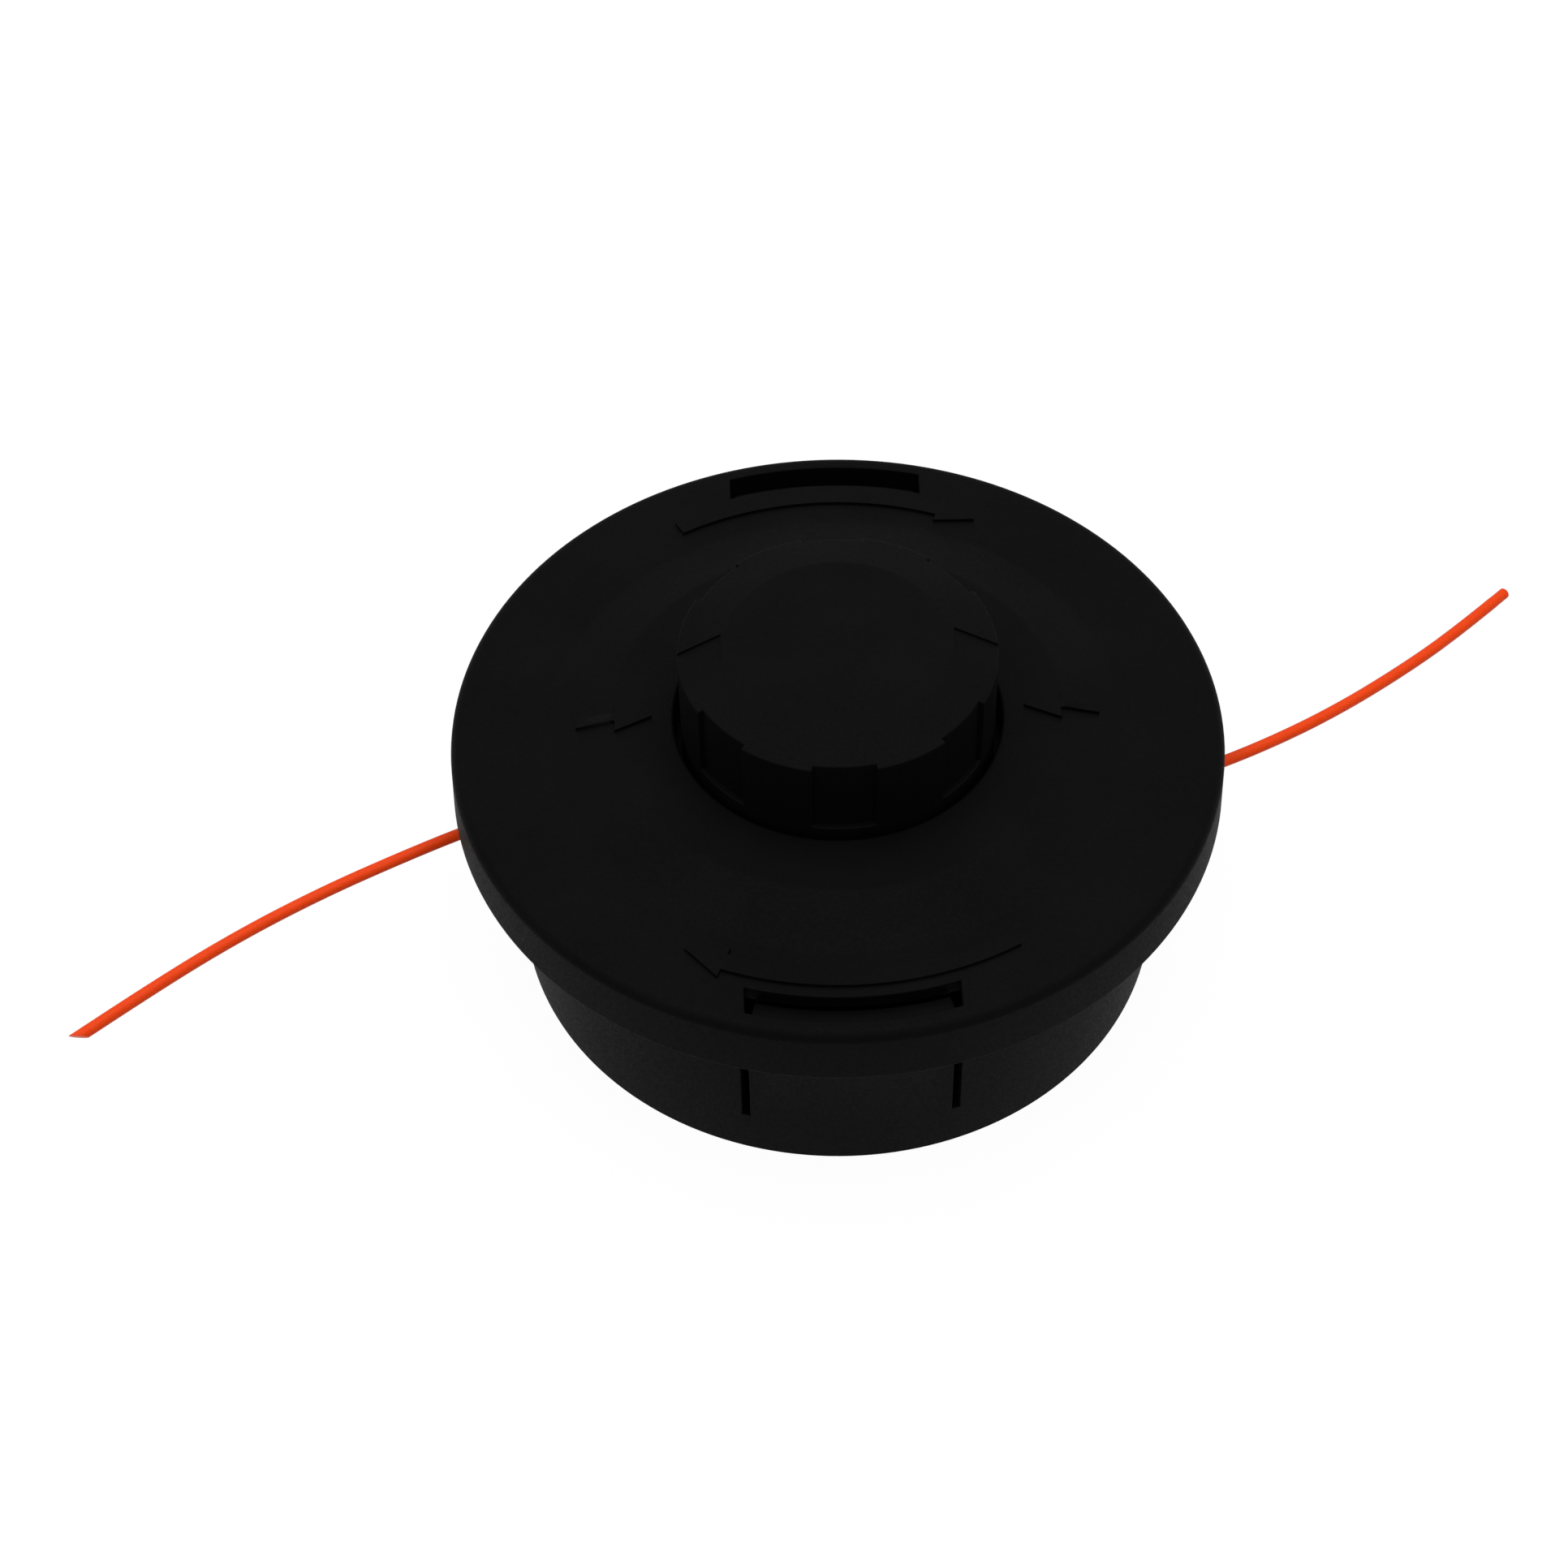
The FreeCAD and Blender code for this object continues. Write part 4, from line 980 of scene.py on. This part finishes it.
@dataclass
class Reel:
    """The spool and the line that is wound in its two bays."""

    body: str = "spool"
    line_mm: float = 2.0
    hub_mm: float = 19.4
    turns_high: int = 4
    gap_mm: float = 0.02         # between neighbouring turns
    steps: int = 120

    def wound_line(self, node: str) -> Form:
        """Return the wound line of one bay: a core of hidden turns and the outer layer's turns."""
        low, high = (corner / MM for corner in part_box(node))
        middle = high.x - self.line_mm / 2
        bm = bmesh.new()
        turn(bm, [(self.hub_mm, low.z), (middle, low.z), (middle, high.z), (self.hub_mm, high.z)])
        knit(bm)
        for index in range(self.turns_high):
            wind(bm, middle, low.z + (index + 0.5) * self.line_mm, self.line_mm - self.gap_mm, self.steps)
        knit(bm)
        return bm

    def build(self) -> None:
        """Build and dress the wound line, and dress the spool."""
        WARDROBE.dress(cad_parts["spool"], SPOOL_NYLON)
        for bay in ("upper", "lower"):
            node = f"line_coil_{bay}"
            piece = new_piece(f"wound_line_{bay}", self.wound_line(node))
            seat(piece, self.body, "line_orange", LINE, node)


@dataclass
class SpringSeat:
    """The coil spring that pushes the spool up, and the washer that it pushes on."""

    body: str = "housing"
    joint: str = "bump"
    wire_mm: float = 1.8
    turns: int = 6
    steps: int = 48
    stroke_mm: float = 5.0

    def build(self) -> None:
        """Build and dress the spring and the washer."""
        low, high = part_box("spring")
        length = high.z - low.z
        lead = self.wire_mm / 4
        bm = bmesh.new()
        wind(bm, high.x / MM - self.wire_mm / 2, low.z / MM - lead, self.wire_mm, self.steps, self.turns,
             length / MM + 2 * lead)
        close_up(bm)
        slice_off(bm, (0, 0, low.z), (0, 0, -1))
        slice_off(bm, (0, 0, high.z), (0, 0, 1))
        knit(bm)
        spring = seat(new_piece("coil_spring", bm), self.body, "spring_steel", SPRING_WIRE, "spring")
        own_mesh(spring)
        WARDROBE.dress(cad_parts["thrust_washer"], ZINC)


@dataclass
class CuttingLine:
    """The two free ends of the cutting line, which come out of the eyelets in a loose bend."""

    body: str = "housing"
    diameter_mm: float = 2.0
    level_mm: float = 26.0
    sides: int = 5                   # bevel steps of each quarter of the section
    steps: int = 16                  # along the route, from one point to the next
    square_round_mm: float = 0.4     # wear of the square cut tip
    slant_round_mm: float = 0.1
    slant_way: tuple[float, float, float] = (-0.05, -0.9, -0.42)    # normal of the slanting cut
    slant_back_mm: float = 1.3       # how far behind the tip the slanting cut crosses the middle of the line
    right_length_mm: float = 81.0
    right_mm: tuple[tuple[float, float], ...] = (
        (50.6, -0.1), (60.4, 3.4), (71.5, 8.3), (83.5, 14.8), (95.8, 23.0), (108.2, 32.5), (118.9, 42.2))
    left_length_mm: float = 83.4
    left_mm: tuple[tuple[float, float], ...] = (
        (-50.6, 0.1), (-60.4, -4.1), (-71.5, -9.65), (-83.5, -16.2), (-95.8, -24.1), (-108.2, -33.6),
        (-120.7, -44.3))

    def swept(self, points: list[tuple[float, float, float]], thick: bool) -> bpy.types.Mesh:
        """Return the route as a mesh: its bare middle line, or the open tube round it.

        Args:
            points: Control points of the route, in metres.
            thick: Whether the mesh is the tube.

        Returns:
            The mesh.
        """
        curve = bpy.data.curves.new("route", "CURVE")
        curve.dimensions = "3D"
        curve.resolution_u = self.steps
        curve.bevel_depth = self.diameter_mm / 2 * MM if thick else 0.0
        curve.bevel_resolution = self.sides
        spline = curve.splines.new("NURBS")
        spline.points.add(len(points) - 1)
        for control, point in zip(spline.points, points):
            control.co = (*point, 1.0)
        spline.order_u = 3
        spline.use_endpoint_u = True
        route = bpy.data.objects.new("route", curve)
        mesh = bpy.data.meshes.new_from_object(route)
        bpy.data.objects.remove(route)
        return mesh

    def tube(self, points: list[tuple[float, float, float]], path: list[Vector],
             slanted: bool) -> Form:
        """Return one end of the line, closed and with its tip cut.

        Args:
            points: Control points of the route, in metres.
            path: The points that the line follows.
            slanted: Whether the tip is cut on a slant.

        Returns:
            The mesh.
        """
        bm = bmesh.new()
        bm.from_mesh(self.swept(points, thick=True))
        knit(bm)
        if slanted:
            back = (path[-1] - path[-2]).normalized() * self.slant_back_mm * MM
            slice_off(bm, path[-1] - back, self.slant_way)
        else:
            close_up(bm)
        knit(bm)
        reach = 2 * self.diameter_mm * MM
        tip = [edge for edge in outer_corners(bm) if (edge.verts[0].co - path[-1]).length < reach]
        round_off(bm, tip, self.slant_round_mm if slanted else self.square_round_mm)
        knit(bm)
        return bm

    def build(self) -> None:
        """Build and dress both ends."""
        for side, route, length, slanted in (("right", self.right_mm, self.right_length_mm, False),
                                             ("left", self.left_mm, self.left_length_mm, True)):
            points = [(x * MM, y * MM, self.level_mm * MM) for x, y in route]
            path = [vert.co.copy() for vert in self.swept(points, thick=False).vertices]
            piece = new_piece(f"free_line_{side}", self.tube(points, path, slanted))
            seat(piece, self.body, "line_orange", LINE, f"line_{side}")


@dataclass
class Studio:
    """A white sweep under soft light, and a camera where the photograph was taken from."""

    azimuth_deg: float = -2.4
    elevation_deg: float = 49.6
    distance_mm: float = 500.0
    aim_mm: float = 29.6                 # height of the point on the drive axis that the camera looks at
    focal_px: float = 3744.0
    axis_column_px: float = 1032.4       # picture column of the drive axis
    sensor_mm: float = 36.0
    near: float = 0.01                   # nearest and furthest distance that the camera sees
    far: float = 50.0
    floor_side: float = 8.0
    floor_colour: str = "#E2E2E2"
    floor_lift: float = 0.92             # how far the floor is lifted towards white for the camera
    floor_glow: float = 1.04
    room_level: float = 0.55             # the room's share in the light that falls on the object
    room_low: float = 0.05               # the room's light at the horizon, against 1 overhead
    room_start: float = 0.2              # how high the room starts to brighten, as the sine of the elevation
    room_full: float = 0.85              # and where it is brightest
    lamp_side: float = 2.4
    lamp_height: float = 2.0
    lamp_power: float = 38.0

    def towards_camera(self) -> Vector:
        """Return the direction from the object to the camera."""
        azimuth, elevation = math.radians(self.azimuth_deg), math.radians(self.elevation_deg)
        return Vector((math.sin(azimuth) * math.cos(elevation), -math.cos(azimuth) * math.cos(elevation),
                       math.sin(elevation)))

    def place_camera(self) -> None:
        """Put the camera at the photograph's viewing angle and framing."""
        back = self.towards_camera()
        data = bpy.data.cameras.new("camera")
        data.sensor_width = self.sensor_mm
        data.lens = self.focal_px / PICTURE_SIDE * self.sensor_mm
        data.shift_x = (PICTURE_SIDE / 2 - self.axis_column_px) / PICTURE_SIDE
        data.clip_start, data.clip_end = self.near, self.far
        camera = add_object("camera", data)
        camera.location = Vector((0, 0, self.aim_mm * MM)) + back * self.distance_mm * MM
        camera.rotation_mode = "QUATERNION"
        camera.rotation_quaternion = (-back).to_track_quat("-Z", "Y")
        bpy.context.scene.camera = camera

    def light_world(self) -> None:
        """Fill the room with soft light from overhead, shown as white to the camera and in reflections."""
        world = bpy.data.worlds.new("studio")
        bpy.context.scene.world = world
        world.use_nodes = True
        tree = world.node_tree
        tree.nodes.clear()
        way = add_node(tree, "ShaderNodeTexCoord").outputs["Generated"]
        height = add_node(tree, "ShaderNodeSeparateXYZ", links={0: way})
        overhead = add_node(tree, "ShaderNodeMapRange", {"interpolation_type": "SMOOTHSTEP"},
                            {"From Min": self.room_start, "From Max": self.room_full,
                             "To Min": self.room_low * self.room_level, "To Max": self.room_level},
                            {"Value": height.outputs["Z"]})
        path = add_node(tree, "ShaderNodeLightPath")
        echo = add_node(tree, "ShaderNodeMath", {"operation": "MAXIMUM"},
                        links={0: path.outputs["Is Glossy Ray"], 1: path.outputs["Is Transmission Ray"]})
        seen = add_node(tree, "ShaderNodeMath", {"operation": "MAXIMUM"},
                        links={0: path.outputs["Is Camera Ray"], 1: echo.outputs[0]})
        strength = add_node(tree, "ShaderNodeMath", {"operation": "MAXIMUM"},
                            links={0: overhead.outputs["Result"], 1: seen.outputs[0]})
        background = add_node(tree, "ShaderNodeBackground", values={"Color": linear("#FFFFFF")},
                              links={"Strength": strength.outputs[0]})
        add_node(tree, "ShaderNodeOutputWorld", links={"Surface": background.outputs["Background"]})

    def lay_floor(self) -> None:
        """Lay the white floor, which keeps a faint shadow."""
        bm = bmesh.new()
        bmesh.ops.create_grid(bm, x_segments=1, y_segments=1, size=self.floor_side / 2)
        mesh = bpy.data.meshes.new("floor")
        bm.to_mesh(mesh)
        bm.free()
        floor = add_object("floor", mesh)
        material, tree = new_surface("white_sweep")
        diffuse = add_node(tree, "ShaderNodeBsdfDiffuse", values={"Color": linear(self.floor_colour)})
        glow = add_node(tree, "ShaderNodeEmission", values={"Strength": self.floor_glow})
        path = add_node(tree, "ShaderNodeLightPath")
        echo = add_node(tree, "ShaderNodeMath", {"operation": "MAXIMUM"},
                        links={0: path.outputs["Is Glossy Ray"], 1: path.outputs["Is Transmission Ray"]})
        lift = add_node(tree, "ShaderNodeMath", {"operation": "MULTIPLY_ADD"}, {1: self.floor_lift},
                        {0: path.outputs["Is Camera Ray"], 2: echo.outputs[0]})
        both = add_node(tree, "ShaderNodeMixShader",
                        links={0: lift.outputs[0], 1: diffuse.outputs[0], 2: glow.outputs[0]})
        add_node(tree, "ShaderNodeOutputMaterial", links={"Surface": both.outputs[0]})
        mesh.materials.append(material)

    def hang_lamp(self) -> None:
        """Hang a large soft lamp over the object."""
        data = bpy.data.lights.new("overhead_lamp", "AREA")
        data.shape = "SQUARE"
        data.size = self.lamp_side
        data.energy = self.lamp_power
        add_object("overhead_lamp", data).location = (0, 0, self.lamp_height)

    def build(self) -> None:
        """Set up camera, room, floor and lamp."""
        bpy.context.scene.view_settings.view_transform = "Standard"
        self.place_camera()
        self.light_world()
        self.lay_floor()
        self.hang_lamp()


def main() -> None:
    """Build the head's sub-assemblies and the studio in order."""
    logging.basicConfig(level=logging.INFO)
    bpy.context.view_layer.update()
    Studio().build()
    for assembly in (CuttingLine(), Cup(), ClipCap(), DriveNut(), LineEyelets(), BumpKnob(), Reel(),
                     SpringSeat()):
        assembly.build()
    bpy.context.view_layer.update()


if __name__ == "__main__":
    main()
